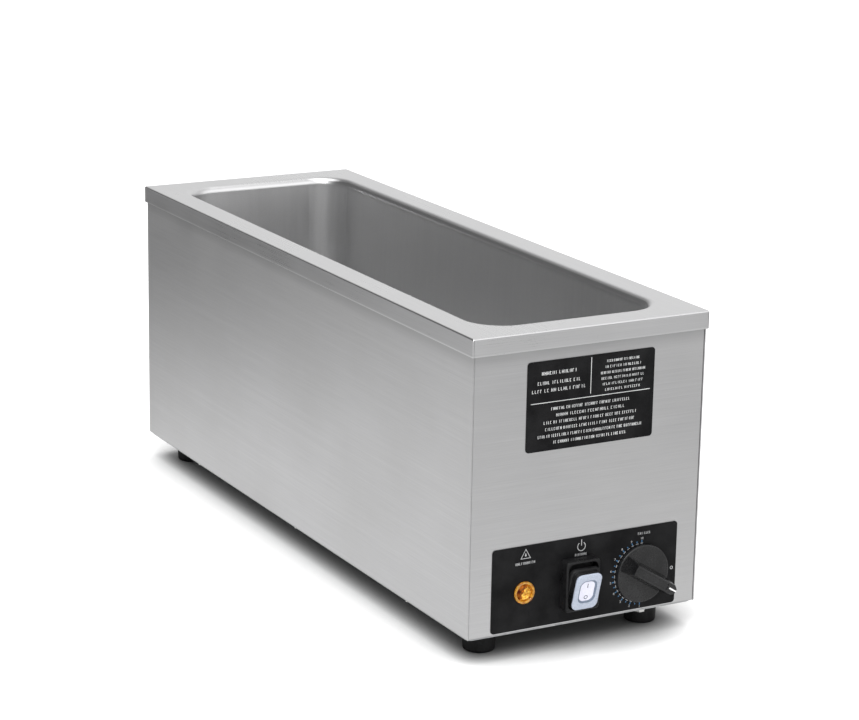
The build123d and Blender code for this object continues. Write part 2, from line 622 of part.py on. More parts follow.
with BuildPart() as heating_element:
    with BuildLine() as hairpin:
        Line(
            (-ELEMENT_SPREAD, ELEMENT_FRONT_Y, ELEMENT_Z), (-ELEMENT_SPREAD, ELEMENT_BEND_Y, ELEMENT_Z)
        )
        ThreePointArc(
            (-ELEMENT_SPREAD, ELEMENT_BEND_Y, ELEMENT_Z),
            (0, ELEMENT_BEND_Y + ELEMENT_SPREAD, ELEMENT_Z),
            (ELEMENT_SPREAD, ELEMENT_BEND_Y, ELEMENT_Z),
        )
        Line(
            (ELEMENT_SPREAD, ELEMENT_BEND_Y, ELEMENT_Z), (ELEMENT_SPREAD, ELEMENT_FRONT_Y, ELEMENT_Z)
        )
    with BuildSketch(Plane(origin=hairpin.line @ 0, z_dir=hairpin.line % 0)):
        Circle(ELEMENT_RADIUS)
    sweep(path=hairpin.line)
save(heating_element, "heating_element")

element_front = Plane(
    origin=(0, ELEMENT_FRONT_Y, 0), x_dir=(1, 0, 0), z_dir=(0, -1, 0)
)
element_ends = [(-ELEMENT_SPREAD, ELEMENT_Z), (ELEMENT_SPREAD, ELEMENT_Z)]
with BuildPart() as element_pins:
    round_pegs(element_front, element_ends, 1.5, 10.0)
    for pin_x, pin_z in element_ends:
        block(
            (pin_x - 3.1, pin_x + 3.1),
            (ELEMENT_FRONT_Y - 18.0, ELEMENT_FRONT_Y - 9.0),
            (pin_z - 0.4, pin_z + 0.4),
        )
save(element_pins, "element_pins")

with BuildPart() as element_clamps:
    with BuildSketch(Plane.XY.offset(CLAMP_TOP - CLAMP_THICKNESS)):
        with Locations(*STUD_POINTS):
            RectangleRounded(84.0, 14.0, 3.0)
            Circle(STUD_RADIUS + 0.3, mode=Mode.SUBTRACT)
    extrude(amount=CLAMP_THICKNESS)
save(element_clamps, "element_clamps")

# Threaded studs are welded under the rim and under the well floor.
with BuildPart() as weld_studs:
    round_pegs(Plane.XY.offset(STUD_LOW), STUD_POINTS, STUD_RADIUS, WELL_UNDERSIDE - STUD_LOW)
    round_pegs(Plane.XY.offset(RIM_STUD_LOW), RIM_STUDS, STUD_RADIUS, CASE_TOP - RIM_STUD_LOW)
save(weld_studs, "weld_studs")

with BuildPart() as stud_nuts:
    for points, seat in (
        (RIM_STUDS, CASE_TOP - SHEET),
        (STUD_POINTS, CLAMP_TOP - CLAMP_THICKNESS),
        (STUD_POINTS, SHIELD_TOP - SHEET),
    ):
        hexagons(Plane.XY.offset(seat - 3.2), points, 7.0, 3.2, STUD_RADIUS + 0.05)
save(stud_nuts, "stud_nuts")

with BuildPart() as heat_shield:
    block(
        (-SHIELD_X, SHIELD_X), (SHIELD_FRONT_Y, SHIELD_BACK_Y), (SHIELD_TOP - SHEET, SHIELD_TOP + 11)
    )
    block(
        (-SHIELD_X + SHEET, SHIELD_X - SHEET),
        (SHIELD_FRONT_Y + SHEET, SHIELD_BACK_Y - SHEET),
        (SHIELD_TOP, SHIELD_TOP + 12),
        Mode.SUBTRACT,
    )
    round_pegs(
        Plane.XY.offset(SHIELD_TOP - SHEET), STUD_POINTS, STUD_RADIUS + 0.3, SHEET, Mode.SUBTRACT
    )
save(heat_shield, "heat_shield")

LIMIT_CENTRE = (-12.0, 62.0)
LOW_WATER_CENTRE = (-12.0, -75.0)
SENSOR_HEIGHT = 8.5
for sensor_name, sensor_centre in {
    "high_limit_thermostat": LIMIT_CENTRE,
    "low_water_thermostat": LOW_WATER_CENTRE,
}.items():
    sensor_low = SPREADER_UNDERSIDE - SENSOR_HEIGHT
    with BuildPart() as sensor:
        round_pegs(Plane.XY.offset(sensor_low), [sensor_centre], 7.0, SENSOR_HEIGHT)
        round_pegs(Plane.XY.offset(SPREADER_UNDERSIDE - 2.5), [sensor_centre], 8.0, 2.5)
        for side in (-1, 1):
            block(
                (sensor_centre[0] - 3.1, sensor_centre[0] + 3.1),
                tuple(sorted((sensor_centre[1] + side * 6.0, sensor_centre[1] + side * 15.0))),
                (sensor_low + 1.0, sensor_low + 1.8),
            )
    save(sensor, sensor_name)

BULB_X = 12.0
BULB_Z = SPREADER_UNDERSIDE - 3.1
BULB_FRONT_Y = -60.0
with BuildPart() as thermostat_bulb:
    bulb_end = Plane(origin=(0, BULB_FRONT_Y, 0), x_dir=(-1, 0, 0), z_dir=(0, 1, 0))
    round_pegs(bulb_end, [(-BULB_X, BULB_Z)], 3.0, 95.0)
    fillet(thermostat_bulb.edges(), 1.4)
save(thermostat_bulb, "thermostat_bulb")

with BuildPart() as capillary_tube:
    capillary_points = [
        (BULB_X, BULB_FRONT_Y, BULB_Z),
        (BULB_X, -212.0, BULB_Z),
        (24.0, -236.0, 60.0),
        (KNOB_CENTRE[0], -244.0, KNOB_CENTRE[1]),
        (KNOB_CENTRE[0], THERMOSTAT_BACK_Y, KNOB_CENTRE[1]),
    ]
    round_route(capillary_points, 0.8, 18.0)
save(capillary_tube, "capillary_tube")

# ---------------------------------------------------------------- insulation
with BuildPart() as insulation_left:
    block((-88.5, -72.5), (-225.0, 255.0), (60.0, 214.0))
save(insulation_left, "insulation_left")

with BuildPart() as insulation_right:
    block((72.5, 88.5), (-225.0, 255.0), (60.0, 214.0))
save(insulation_right, "insulation_right")

with BuildPart() as insulation_front:
    block((-66.0, 66.0), (-270.0, -254.5), (86.0, 214.0))
save(insulation_front, "insulation_front")

with BuildPart() as insulation_rear:
    block((-66.0, 66.0), (256.0, 271.0), (70.0, 214.0))
save(insulation_rear, "insulation_rear")

with BuildPart() as insulation_bottom:
    block(
        (-SHIELD_X + SHEET + 0.2, SHIELD_X - SHEET - 0.2),
        (SHIELD_FRONT_Y + SHEET + 0.2, SHIELD_BACK_Y - SHEET - 0.2),
        (SHIELD_TOP, SHIELD_TOP + 12.5),
    )
    round_pegs(Plane.XY.offset(SHIELD_TOP), STUD_POINTS, 3.0, 13.0, Mode.SUBTRACT)
save(insulation_bottom, "insulation_bottom")

# ---------------------------------------------------------------- power entry and wiring
BACK_INNER_Y = BACK_Y - SHEET
TERMINAL_Z = 37.0
terminal_middle = sum(TERMINAL_POLES) / len(TERMINAL_POLES)
terminal_width = len(TERMINAL_POLES) * 12.0
terminal_face = Plane(
    origin=(0, TERMINAL_FACE_Y, 0), x_dir=(1, 0, 0), z_dir=(0, -1, 0)
)
with BuildPart() as terminal_block:
    block(
        (terminal_middle - terminal_width / 2, terminal_middle + terminal_width / 2),
        (TERMINAL_FACE_Y, BACK_INNER_Y),
        (TERMINAL_Z - 9.0, TERMINAL_Z + 9.0),
    )
    fillet(terminal_block.edges().filter_by(Axis.X).group_by(Axis.Y)[0], 1.5)
    round_pegs(
        Plane.XY.offset(TERMINAL_Z + 5.0),
        [(pole, TERMINAL_FACE_Y + 10.0) for pole in TERMINAL_POLES],
        3.0,
        5.0,
        Mode.SUBTRACT,
    )
save(terminal_block, "terminal_block")

with BuildPart() as terminal_screws:
    round_pegs(
        Plane.XY.offset(TERMINAL_Z + 5.0),
        [(pole, TERMINAL_FACE_Y + 10.0) for pole in TERMINAL_POLES],
        2.6,
        2.5,
    )
    with BuildSketch(Plane.XY.offset(TERMINAL_Z + 6.7)):
        with Locations(*[(pole, TERMINAL_FACE_Y + 10.0) for pole in TERMINAL_POLES]):
            Rectangle(6.0, 0.8)
    extrude(amount=1.0, mode=Mode.SUBTRACT)
save(terminal_screws, "terminal_screws")

with BuildPart() as ground_stud:
    round_pegs(
        back_plane(-SHEET - 14.0), [(-GROUND_CENTRE[0], GROUND_CENTRE[1])], 2.5, 14.0
    )
save(ground_stud, "ground_stud")

with BuildPart() as m5_nuts:
    hexagons(Plane.XY.offset(PLATE_TOP), CORNER_POSTS, 8.0, 4.0, 2.5)
    hexagons(
        back_plane(-SHEET - 6.0), [(-GROUND_CENTRE[0], GROUND_CENTRE[1])], 8.0, 4.0, 2.55
    )
save(m5_nuts, "m5_nuts")

gland_point = [(-GLAND_CENTRE[0], GLAND_CENTRE[1])]
GLAND_OUT = KNOB_TOP
with BuildPart() as gland_body:
    hexagons(back_plane(), gland_point, 24.0, 6.0)
    round_pegs(back_plane(-SHEET - 10.0), gland_point, 10.0, SHEET + 10.0)
    round_pegs(back_plane(6.0), gland_point, 9.6, 3.0)
    round_pegs(back_plane(-SHEET - 10.0), gland_point, 6.6, 30.0, Mode.SUBTRACT)
save(gland_body, "gland_body")

with BuildPart() as gland_nut:
    hexagons(back_plane(9.1), gland_point, 24.0, 5.0)
    with BuildSketch(back_plane(14.1)):
        with Locations(*gland_point):
            Circle(11.0)
    extrude(amount=GLAND_OUT - 14.1, taper=20)
    round_pegs(back_plane(9.0), gland_point, 6.6, 20.0, Mode.SUBTRACT)
save(gland_nut, "gland_nut")

with BuildPart() as gland_seal:
    round_pegs(back_plane(2.0), gland_point, 6.5, GLAND_OUT - 2.4)
    round_pegs(back_plane(2.0), gland_point, GLAND_BORE, GLAND_OUT, Mode.SUBTRACT)
save(gland_seal, "gland_seal")

with BuildPart() as gland_locknut:
    hexagons(back_plane(-SHEET - 5.0), gland_point, 26.0, 5.0, 10.05)
save(gland_locknut, "gland_locknut")

TERMINAL_LOW_Z = 29.0
SWITCH_TAB_Y = FRONT_Y + BODY_DEPTH + 10.0
SWITCH_LOW_Z = SWITCH_Z - 8.0
SWITCH_HIGH_Z = SWITCH_Z + 8.0
LEFT_TAB_X = SWITCH_X - 5.5
RIGHT_TAB_X = SWITCH_X + 5.5
ELEMENT_TAB_Y = ELEMENT_FRONT_Y - 18.0
PILOT_TAB_Y = FRONT_Y + 26.0
THERMOSTAT_TAB_Y = THERMOSTAT_BACK_Y + 10.0
LOW_WATER_TAB_Y = LOW_WATER_CENTRE[1] - 15.0
LOW_WATER_TAB_Z = SPREADER_UNDERSIDE - SENSOR_HEIGHT + 1.4
LAMP_WIRE_Z = 59.5

wire_routes = {
    "ground_wire": [
        [
            (TERMINAL_POLES[0], TERMINAL_FACE_Y, TERMINAL_Z),
            (TERMINAL_POLES[0], 234.0, TERMINAL_Z),
            (GROUND_CENTRE[0], 234.0, GROUND_CENTRE[1]),
            (GROUND_CENTRE[0], BACK_INNER_Y - 14.0, GROUND_CENTRE[1]),
        ]
    ],
    "supply_wires": [
        [
            (pole, TERMINAL_FACE_Y, TERMINAL_Z),
            (pole, 236.0, TERMINAL_Z),
            (pole, 218.0, TERMINAL_LOW_Z),
            (pole, -180.0, TERMINAL_LOW_Z),
            (tab_x, -204.0, TERMINAL_LOW_Z + 2),
            (tab_x, -225.0, SWITCH_LOW_Z),
            (tab_x, SWITCH_TAB_Y, SWITCH_LOW_Z),
        ]
        for pole, tab_x in zip(TERMINAL_POLES[2:], (LEFT_TAB_X, RIGHT_TAB_X))
    ],
    "lamp_wires": [
        [
            (TERMINAL_POLES[1], TERMINAL_FACE_Y, TERMINAL_Z),
            (TERMINAL_POLES[1], 236.0, TERMINAL_Z),
            (-20.0, 218.0, TERMINAL_LOW_Z),
            (-50.0, 196.0, TERMINAL_LOW_Z),
            (PILOT_CENTRE[0] - 3.0, -205.0, TERMINAL_LOW_Z),
            (PILOT_CENTRE[0] - 3.0, -232.0, PILOT_CENTRE[1]),
            (PILOT_CENTRE[0] - 3.0, PILOT_TAB_Y, PILOT_CENTRE[1]),
        ],
        [
            (PILOT_CENTRE[0] + 3.0, PILOT_TAB_Y, PILOT_CENTRE[1]),
            (PILOT_CENTRE[0] + 3.0, -236.0, PILOT_CENTRE[1]),
            (PILOT_CENTRE[0] + 3.0, -214.0, LAMP_WIRE_Z),
            (PILOT_CENTRE[0] + 3.0, -116.0, LAMP_WIRE_Z),
            (LOW_WATER_CENTRE[0], -116.0, LAMP_WIRE_Z),
            (LOW_WATER_CENTRE[0], -102.0, LOW_WATER_TAB_Z),
            (LOW_WATER_CENTRE[0], LOW_WATER_TAB_Y, LOW_WATER_TAB_Z),
        ],
    ],
    "thermostat_wire": [
        [
            (RIGHT_TAB_X, SWITCH_TAB_Y, SWITCH_HIGH_Z),
            (RIGHT_TAB_X, -226.0, SWITCH_HIGH_Z),
            (TAB_POINTS[0][0], -226.0, SWITCH_HIGH_Z - 2),
            (TAB_POINTS[0][0], -230.0, TAB_POINTS[0][1]),
            (TAB_POINTS[0][0], THERMOSTAT_TAB_Y, TAB_POINTS[0][1]),
        ]
    ],
    "element_wires": [
        [
            (TAB_POINTS[1][0], THERMOSTAT_TAB_Y, TAB_POINTS[1][1]),
            (TAB_POINTS[1][0], -234.0, TAB_POINTS[1][1]),
            (46.0, -224.0, 58.0),
            (ELEMENT_SPREAD, -225.0, ELEMENT_Z),
            (ELEMENT_SPREAD, ELEMENT_TAB_Y, ELEMENT_Z),
        ],
        [
            (-ELEMENT_SPREAD, ELEMENT_TAB_Y, ELEMENT_Z),
            (-ELEMENT_SPREAD, -224.0, ELEMENT_Z),
            (LEFT_TAB_X, -226.0, SWITCH_HIGH_Z),
            (LEFT_TAB_X, SWITCH_TAB_Y, SWITCH_HIGH_Z),
        ],
    ],
}
for wire_name, routes in wire_routes.items():
    with BuildPart() as wires:
        for wire_points in routes:
            round_route(wire_points, WIRE_RADIUS, 14.0)
    save(wires, wire_name)
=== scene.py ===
import json
import math
import random

import bmesh
import bpy
from mathutils import Matrix, Vector


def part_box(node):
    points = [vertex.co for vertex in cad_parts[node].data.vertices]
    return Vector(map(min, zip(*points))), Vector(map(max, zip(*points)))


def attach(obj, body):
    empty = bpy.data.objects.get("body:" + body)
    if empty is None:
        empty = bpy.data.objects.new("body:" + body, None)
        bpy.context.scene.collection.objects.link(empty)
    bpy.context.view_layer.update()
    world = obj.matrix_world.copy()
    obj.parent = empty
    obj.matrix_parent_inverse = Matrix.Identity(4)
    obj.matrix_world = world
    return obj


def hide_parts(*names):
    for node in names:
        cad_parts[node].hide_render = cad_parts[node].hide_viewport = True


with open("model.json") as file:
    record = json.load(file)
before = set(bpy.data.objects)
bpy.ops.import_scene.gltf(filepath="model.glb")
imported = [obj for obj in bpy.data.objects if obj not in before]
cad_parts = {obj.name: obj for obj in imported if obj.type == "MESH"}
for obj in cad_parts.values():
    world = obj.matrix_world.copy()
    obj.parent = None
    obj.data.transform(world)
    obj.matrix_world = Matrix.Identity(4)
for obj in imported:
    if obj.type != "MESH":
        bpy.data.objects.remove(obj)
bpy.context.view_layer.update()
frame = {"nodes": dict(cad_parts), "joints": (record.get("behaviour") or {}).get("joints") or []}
nodes = frame["nodes"]

# ------------------------------------------------------------------ sizes, in metres
MM = 0.001
LIP_DEPTH = 13.0 * MM
PRINT_SINK = 0.03 * MM
PRINT_RISE = 0.04 * MM
DIAL_TICK_RADIUS = 23.1 * MM
DIAL_RING_RADIUS = 21.7 * MM
DIAL_DASH_HALF = 2.8
DIAL_NUMERAL_RADIUS = 25.2 * MM
DIAL_FIRST_ANGLE = -90.0
DIAL_STEP = -20.0
DIAL_MARKS = 10
ROCKER_TILT = math.radians(15.0)
ROCKER_PRINT_OUT = 10.5 * MM

plate_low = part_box("control_faceplate")[0]
label_low, label_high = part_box("information_plate")
lens_low, lens_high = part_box("pilot_lens")
boot_low, boot_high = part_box("switch_boot")
rim_low, rim_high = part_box("well_and_rim")
case_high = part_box("body_wrapper")[1]
LIP_BOTTOM = rim_high.z - LIP_DEPTH
joint_places = {joint["name"]: Vector(joint["pos_m"]) for joint in frame["joints"]}


# ------------------------------------------------------------------ shader helpers
def add_node(tree, kind, **values):
    """A new shader node; each value sets an input socket, or a setting of the node."""
    node = tree.nodes.new(kind)
    for key, value in values.items():
        socket = node.inputs.get(key.replace("_", " "))
        if socket is None:
            setattr(node, key, value)
        else:
            socket.default_value = value
    return node


def start_material(name, colour, roughness, metallic=0.0, **sockets):
    """A principled material, its tree and its shader, with the even values set."""
    material = bpy.data.materials.new(name)
    material.use_nodes = True
    tree = material.node_tree
    shader = tree.nodes["Principled BSDF"]
    shader.inputs["Base Color"].default_value = (*colour, 1.0)
    shader.inputs["Roughness"].default_value = roughness
    shader.inputs["Metallic"].default_value = metallic
    for key, value in sockets.items():
        shader.inputs[key.replace("_", " ")].default_value = value
    material.diffuse_color = (*colour, 1.0)
    return material, tree, shader


def texture_space(tree, scale):
    """The object's own coordinates, stretched by a scale for each axis."""
    place = add_node(tree, "ShaderNodeTexCoord")
    mapping = add_node(tree, "ShaderNodeMapping")
    mapping.inputs["Scale"].default_value = scale
    tree.links.new(place.outputs["Object"], mapping.inputs["Vector"])
    return mapping.outputs["Vector"]


def noise(tree, scale, detail=3.0, roughness=0.55):
    """A grey noise value over the object, with that many features a metre on each axis."""
    texture = add_node(tree, "ShaderNodeTexNoise", Scale=1.0, Detail=detail, Roughness=roughness)
    tree.links.new(texture_space(tree, scale), texture.inputs["Vector"])
    return texture.outputs["Fac"]


def ramp(tree, value, low, high, out_low, out_high):
    """The value moved smoothly from one range to another."""
    remap = add_node(tree, "ShaderNodeMapRange", interpolation_type="SMOOTHSTEP")
    remap.inputs["From Min"].default_value = low
    remap.inputs["From Max"].default_value = high
    remap.inputs["To Min"].default_value = out_low
    remap.inputs["To Max"].default_value = out_high
    tree.links.new(value, remap.inputs["Value"])
    return remap.outputs["Result"]


def math_node(tree, operation, first, second):
    """The sum, product or other combination of two values."""
    node = add_node(tree, "ShaderNodeMath", operation=operation)
    for socket, value in zip(node.inputs, (first, second)):
        if isinstance(value, (int, float)):
            socket.default_value = value
        else:
            tree.links.new(value, socket)
    return node.outputs["Value"]


def blend_values(tree, share, first, second):
    """The first value where share is 0 and the second where it is 1."""
    node = add_node(tree, "ShaderNodeMix", data_type="FLOAT")
    tree.links.new(share, node.inputs["Factor"])
    for socket, value in zip((node.inputs["A"], node.inputs["B"]), (first, second)):
        if isinstance(value, (int, float)):
            socket.default_value = value
        else:
            tree.links.new(value, socket)
    return node.outputs["Result"]


def blend_colours(tree, share, first, second):
    """The first colour where share is 0 and the second where it is 1."""
    node = add_node(tree, "ShaderNodeMix", data_type="RGBA")
    tree.links.new(share, node.inputs["Factor"])
    pairs = [s for s in node.inputs if s.type == "RGBA"]
    for socket, value in zip(pairs, (first, second)):
        if isinstance(value, tuple):
            socket.default_value = (*value, 1.0)
        else:
            tree.links.new(value, socket)
    return next(s for s in node.outputs if s.type == "RGBA")


def bump(tree, shader, height, strength, distance):
    """Surface relief from a height value."""
    node = add_node(tree, "ShaderNodeBump", Strength=strength, Distance=distance)
    tree.links.new(height, node.inputs["Height"])
    tree.links.new(node.outputs["Normal"], shader.inputs["Normal"])


def position_part(tree, axis):
    """One axis of the point's place on the object, in metres."""
    place = add_node(tree, "ShaderNodeTexCoord")
    split = add_node(tree, "ShaderNodeSeparateXYZ")
    tree.links.new(place.outputs["Object"], split.inputs["Vector"])
    return split.outputs[axis]


def facing(tree, axis):
    """How squarely the surface faces along one axis, from 0 to 1."""
    place = add_node(tree, "ShaderNodeTexCoord")
    split = add_node(tree, "ShaderNodeSeparateXYZ")
    tree.links.new(place.outputs["Normal"], split.inputs["Vector"])
    return math_node(tree, "ABSOLUTE", split.outputs[axis], 0.0)


# ------------------------------------------------------------------ stainless steel
STEEL_DARK = (0.49, 0.49, 0.495)
STEEL_LIGHT = (0.60, 0.60, 0.605)
# the shaded steel tone is painted shade, laid on the casing over SHADED_HEIGHT just under the rim's lip
STEEL_SHADED = (0.36, 0.36, 0.363)
STEEL_HANDLED = (0.52, 0.515, 0.505)
SHADED_HEIGHT = 11 * MM


def brushed_steel(name, fine_scale, broad_scale, roughness, anisotropy):
    """Sheet steel with brush lines drawn out along the short-scaled axes, and painted shade darkening it
    just under the rim's lip.
    """
    material, tree, shader = start_material(
        name, STEEL_LIGHT, roughness, 1.0, Anisotropic=anisotropy, Anisotropic_Rotation=0.25
    )
    fine = noise(tree, fine_scale, 4.0, 0.7)
    broad = noise(tree, broad_scale, 2.0, 0.5)
    cloud = noise(tree, (9.0, 9.0, 9.0), 3.0, 0.6)
    lines = blend_values(tree, ramp(tree, broad, 0.3, 0.7, 0.1, 0.35), fine, broad)
    tone = ramp(tree, lines, 0.2, 0.8, 0.0, 1.0)
    clean = blend_colours(tree, tone, STEEL_DARK, STEEL_LIGHT)
    handled = blend_colours(tree, ramp(tree, cloud, 0.35, 0.75, 0.0, 0.22), clean, STEEL_HANDLED)
    # painted shade: the casing darkens towards the lip, as if in the lip's shadow
    under_lip_painted_shade = ramp(tree, position_part(tree, "Z"), LIP_BOTTOM - SHADED_HEIGHT, LIP_BOTTOM, 0.0, 0.55)
    shaded = blend_colours(tree, under_lip_painted_shade, handled, STEEL_SHADED)
    tree.links.new(shaded, shader.inputs["Base Color"])
    streaked = ramp(tree, fine, 0.25, 0.75, roughness - 0.03, roughness + 0.05)
    smudged = math_node(tree, "ADD", streaked, ramp(tree, cloud, 0.3, 0.8, -0.03, 0.05))
    tree.links.new(smudged, shader.inputs["Roughness"])
    bump(tree, shader, fine, 0.1, 0.04 * MM)
    tangent = add_node(tree, "ShaderNodeTangent", direction_type="RADIAL", axis="Z")
    tree.links.new(tangent.outputs["Tangent"], shader.inputs["Tangent"])
    return material


def cabinet_steel():
    """Horizontal brush lines all round the cabinet."""
    return brushed_steel("cabinet_steel", (22.0, 22.0, 3000.0), (5.0, 5.0, 700.0), 0.34, 0.4)


RIM_BAND = 16 * MM
ROLL_DEPTH = 2 * MM
WELL_FINISH_DEPTH = 9 * MM
# height of the painted highlight along the lip's lower edge
LIP_HIGHLIGHT_HEIGHT = 1.6 * MM


def top_steel():
    """Brush lines along the rim, and a softer drawn finish down inside the well; painted light and shade on
    the rim: lightest on top, darker on the front lip, darkest on the side lips, with a painted highlight
    along the lip's lower edge.
    """
    material, tree, shader = start_material("top_steel", STEEL_LIGHT, 0.32, 1.0)
    along_rim = noise(tree, (2600.0, 14.0, 14.0), 4.0, 0.7)
    across_lip = noise(tree, (14.0, 14.0, 2600.0), 4.0, 0.7)
    drawn = noise(tree, (260.0, 260.0, 12.0), 2.0, 0.5)
    satin = noise(tree, (1500.0, 1500.0, 1500.0), 2.0, 0.5)
    cloud = noise(tree, (11.0, 11.0, 11.0), 3.0, 0.6)
    upright = math_node(tree, "MAXIMUM", facing(tree, "X"), facing(tree, "Y"))
    lip_share = ramp(tree, upright, 0.6, 0.8, 0.0, 1.0)
    brushed = blend_values(tree, lip_share, along_rim, across_lip)
    matt = blend_values(tree, ramp(tree, cloud, 0.3, 0.7, 0.6, 0.85), drawn, satin)
    below_rim = ramp(
        tree, position_part(tree, "Z"), rim_high.z - WELL_FINISH_DEPTH, rim_high.z - ROLL_DEPTH, 1.0, 0.0
    )
    inside = []
    for axis, half_size in (("X", abs(rim_low.x)), ("Y", abs(rim_low.y))):
        edge = half_size - RIM_BAND
        place = math_node(tree, "ABSOLUTE", position_part(tree, axis), 0.0)
        inside.append(ramp(tree, place, edge - MM, edge + MM, 1.0, 0.0))
    well_share = math_node(tree, "MULTIPLY", below_rim, math_node(tree, "MULTIPLY", *inside))
    grain = blend_values(tree, well_share, brushed, matt)
    tone = ramp(tree, grain, 0.2, 0.8, 0.0, 1.0)
    # painted light and shade: the rim's top in the lightest tone, the front lip darker and the side lips
    # darkest, chosen by which way each face looks
    rim_top_painted_light = blend_colours(tree, tone, (0.72, 0.72, 0.725), (0.80, 0.80, 0.805))
    lip_front_painted_light = blend_colours(tree, tone, (0.62, 0.62, 0.625), (0.70, 0.70, 0.705))
    lip_side_painted_shade = blend_colours(tree, tone, (0.44, 0.44, 0.445), (0.51, 0.51, 0.515))
    side_share = ramp(tree, facing(tree, "X"), 0.6, 0.8, 0.0, 1.0)
    lip_colour = blend_colours(tree, side_share, lip_front_painted_light, lip_side_painted_shade)
    # painted highlight: a light band along the lip's lower edge
    lip_edge_painted_highlight = ramp(tree, position_part(tree, "Z"), LIP_BOTTOM, LIP_BOTTOM + LIP_HIGHLIGHT_HEIGHT, 0.6, 0.0)
    lip_colour = blend_colours(tree, lip_edge_painted_highlight, lip_colour, (0.82, 0.82, 0.825))
    rim_colour = blend_colours(tree, lip_share, rim_top_painted_light, lip_colour)
    well_colour = blend_colours(tree, tone, (0.60, 0.60, 0.603), (0.67, 0.67, 0.673))
    tree.links.new(blend_colours(tree, well_share, rim_colour, well_colour), shader.inputs["Base Color"])
    base_roughness = blend_values(tree, well_share, 0.29, 0.36)
    varied = math_node(tree, "ADD", base_roughness, ramp(tree, grain, 0.25, 0.75, -0.02, 0.04))
    clouded = math_node(tree, "ADD", varied, ramp(tree, cloud, 0.3, 0.8, -0.02, 0.05))
    tree.links.new(clouded, shader.inputs["Roughness"])
    bump(tree, shader, grain, 0.06, 0.02 * MM)
    return material


# ------------------------------------------------------------------ other materials
def moulded(name, colour, roughness, grain=900.0, depth=0.05, wear=0.25, metallic=0.0, **sockets):
    """A moulded, rolled or painted surface: fine grain, cloudy tone, lighter rubbed patches."""
    material, tree, shader = start_material(name, colour, roughness, metallic, **sockets)
    fine = noise(tree, (grain, grain, grain), 3.0, 0.6)
    cloud = noise(tree, (55.0, 55.0, 55.0), 4.0, 0.6)
    darker = tuple(part * (1.0 - 0.35 * wear) for part in colour)
    lighter = tuple(min(1.0, part * (1.0 + wear) + 0.012 * wear) for part in colour)
    fine_part = math_node(tree, "MULTIPLY", fine, 0.4)
    cloud_part = math_node(tree, "MULTIPLY", cloud, 0.6)
    mottled = math_node(tree, "ADD", fine_part, cloud_part)
    tone = ramp(tree, mottled, 0.35, 0.68, 0.0, 1.0)
    tree.links.new(blend_colours(tree, tone, darker, lighter), shader.inputs["Base Color"])
    tree.links.new(
        ramp(tree, mottled, 0.3, 0.7, max(0.02, roughness - 0.06), min(1.0, roughness + 0.08)),
        shader.inputs["Roughness"],
    )
    bump(tree, shader, fine, 0.35, depth * MM)
    return material


def galvanised(name):
    """Zinc-coated sheet with a spangle of crystals."""
    material, tree, shader = start_material(name, (0.5, 0.51, 0.52), 0.42, 1.0)
    crystals = add_node(tree, "ShaderNodeTexVoronoi", Scale=1.0, Randomness=1.0)
    tree.links.new(texture_space(tree, (140.0, 140.0, 140.0)), crystals.inputs["Vector"])
    crystal_tone = add_node(tree, "ShaderNodeSeparateColor")
    tree.links.new(crystals.outputs["Color"], crystal_tone.inputs["Color"])
    speck = noise(tree, (1200.0, 1200.0, 1200.0), 2.0, 0.5)
    tone = blend_values(tree, ramp(tree, speck, 0.2, 0.8, 0.1, 0.4), crystal_tone.outputs["Red"], speck)
    zinc = blend_colours(tree, tone, (0.36, 0.37, 0.38), (0.58, 0.59, 0.60))
    tree.links.new(zinc, shader.inputs["Base Color"])
    tree.links.new(ramp(tree, tone, 0.0, 1.0, 0.34, 0.55), shader.inputs["Roughness"])
    bump(tree, shader, tone, 0.12, 0.05 * MM)
    return material


def mineral_wool(name):
    """Matted fibres of the insulation blanket."""
    material, tree, shader = start_material(name, (0.62, 0.58, 0.36), 0.95)
    fibre = noise(tree, (1400.0, 260.0, 700.0), 6.0, 0.75)
    clump = noise(tree, (90.0, 90.0, 90.0), 4.0, 0.6)
    fibre_tone = ramp(tree, fibre, 0.3, 0.7, 0.3, 1.0)
    clump_tone = ramp(tree, clump, 0.3, 0.7, 0.5, 1.0)
    tone = math_node(tree, "MULTIPLY", fibre_tone, clump_tone)
    wool = blend_colours(tree, tone, (0.40, 0.36, 0.20), (0.74, 0.70, 0.48))
    tree.links.new(wool, shader.inputs["Base Color"])
    bump(tree, shader, fibre, 0.9, 0.6 * MM)
    return material


def amber_glass(name):
    """Deep amber plastic over a bright reflector."""
    material, tree, shader = start_material(
        name, (0.7, 0.3, 0.02), 0.1, 0.0,
        Transmission_Weight=0.5, IOR=1.5, Coat_Weight=0.5, Coat_Roughness=0.04,
    )
    cloud = noise(tree, (420.0, 420.0, 420.0), 3.0, 0.5)
    tone = ramp(tree, cloud, 0.35, 0.65, 0.0, 1.0)
    amber = blend_colours(tree, tone, (0.55, 0.19, 0.01), (0.95, 0.52, 0.05))
    tree.links.new(amber, shader.inputs["Base Color"])
    tree.links.new(ramp(tree, cloud, 0.3, 0.7, 0.06, 0.16), shader.inputs["Roughness"])
    return material


def amber_reflector(name, deep, bright):
    """Tinted facets under the lens face, between a deep and a bright tone."""
    material, tree, shader = start_material(name, bright, 0.16, 0.9)
    cloud = noise(tree, (380.0, 380.0, 380.0), 3.0, 0.5)
    tone = ramp(tree, cloud, 0.35, 0.65, 0.0, 1.0)
    tree.links.new(blend_colours(tree, tone, deep, bright), shader.inputs["Base Color"])
    tree.links.new(ramp(tree, cloud, 0.3, 0.7, 0.1, 0.24), shader.inputs["Roughness"])
    return material


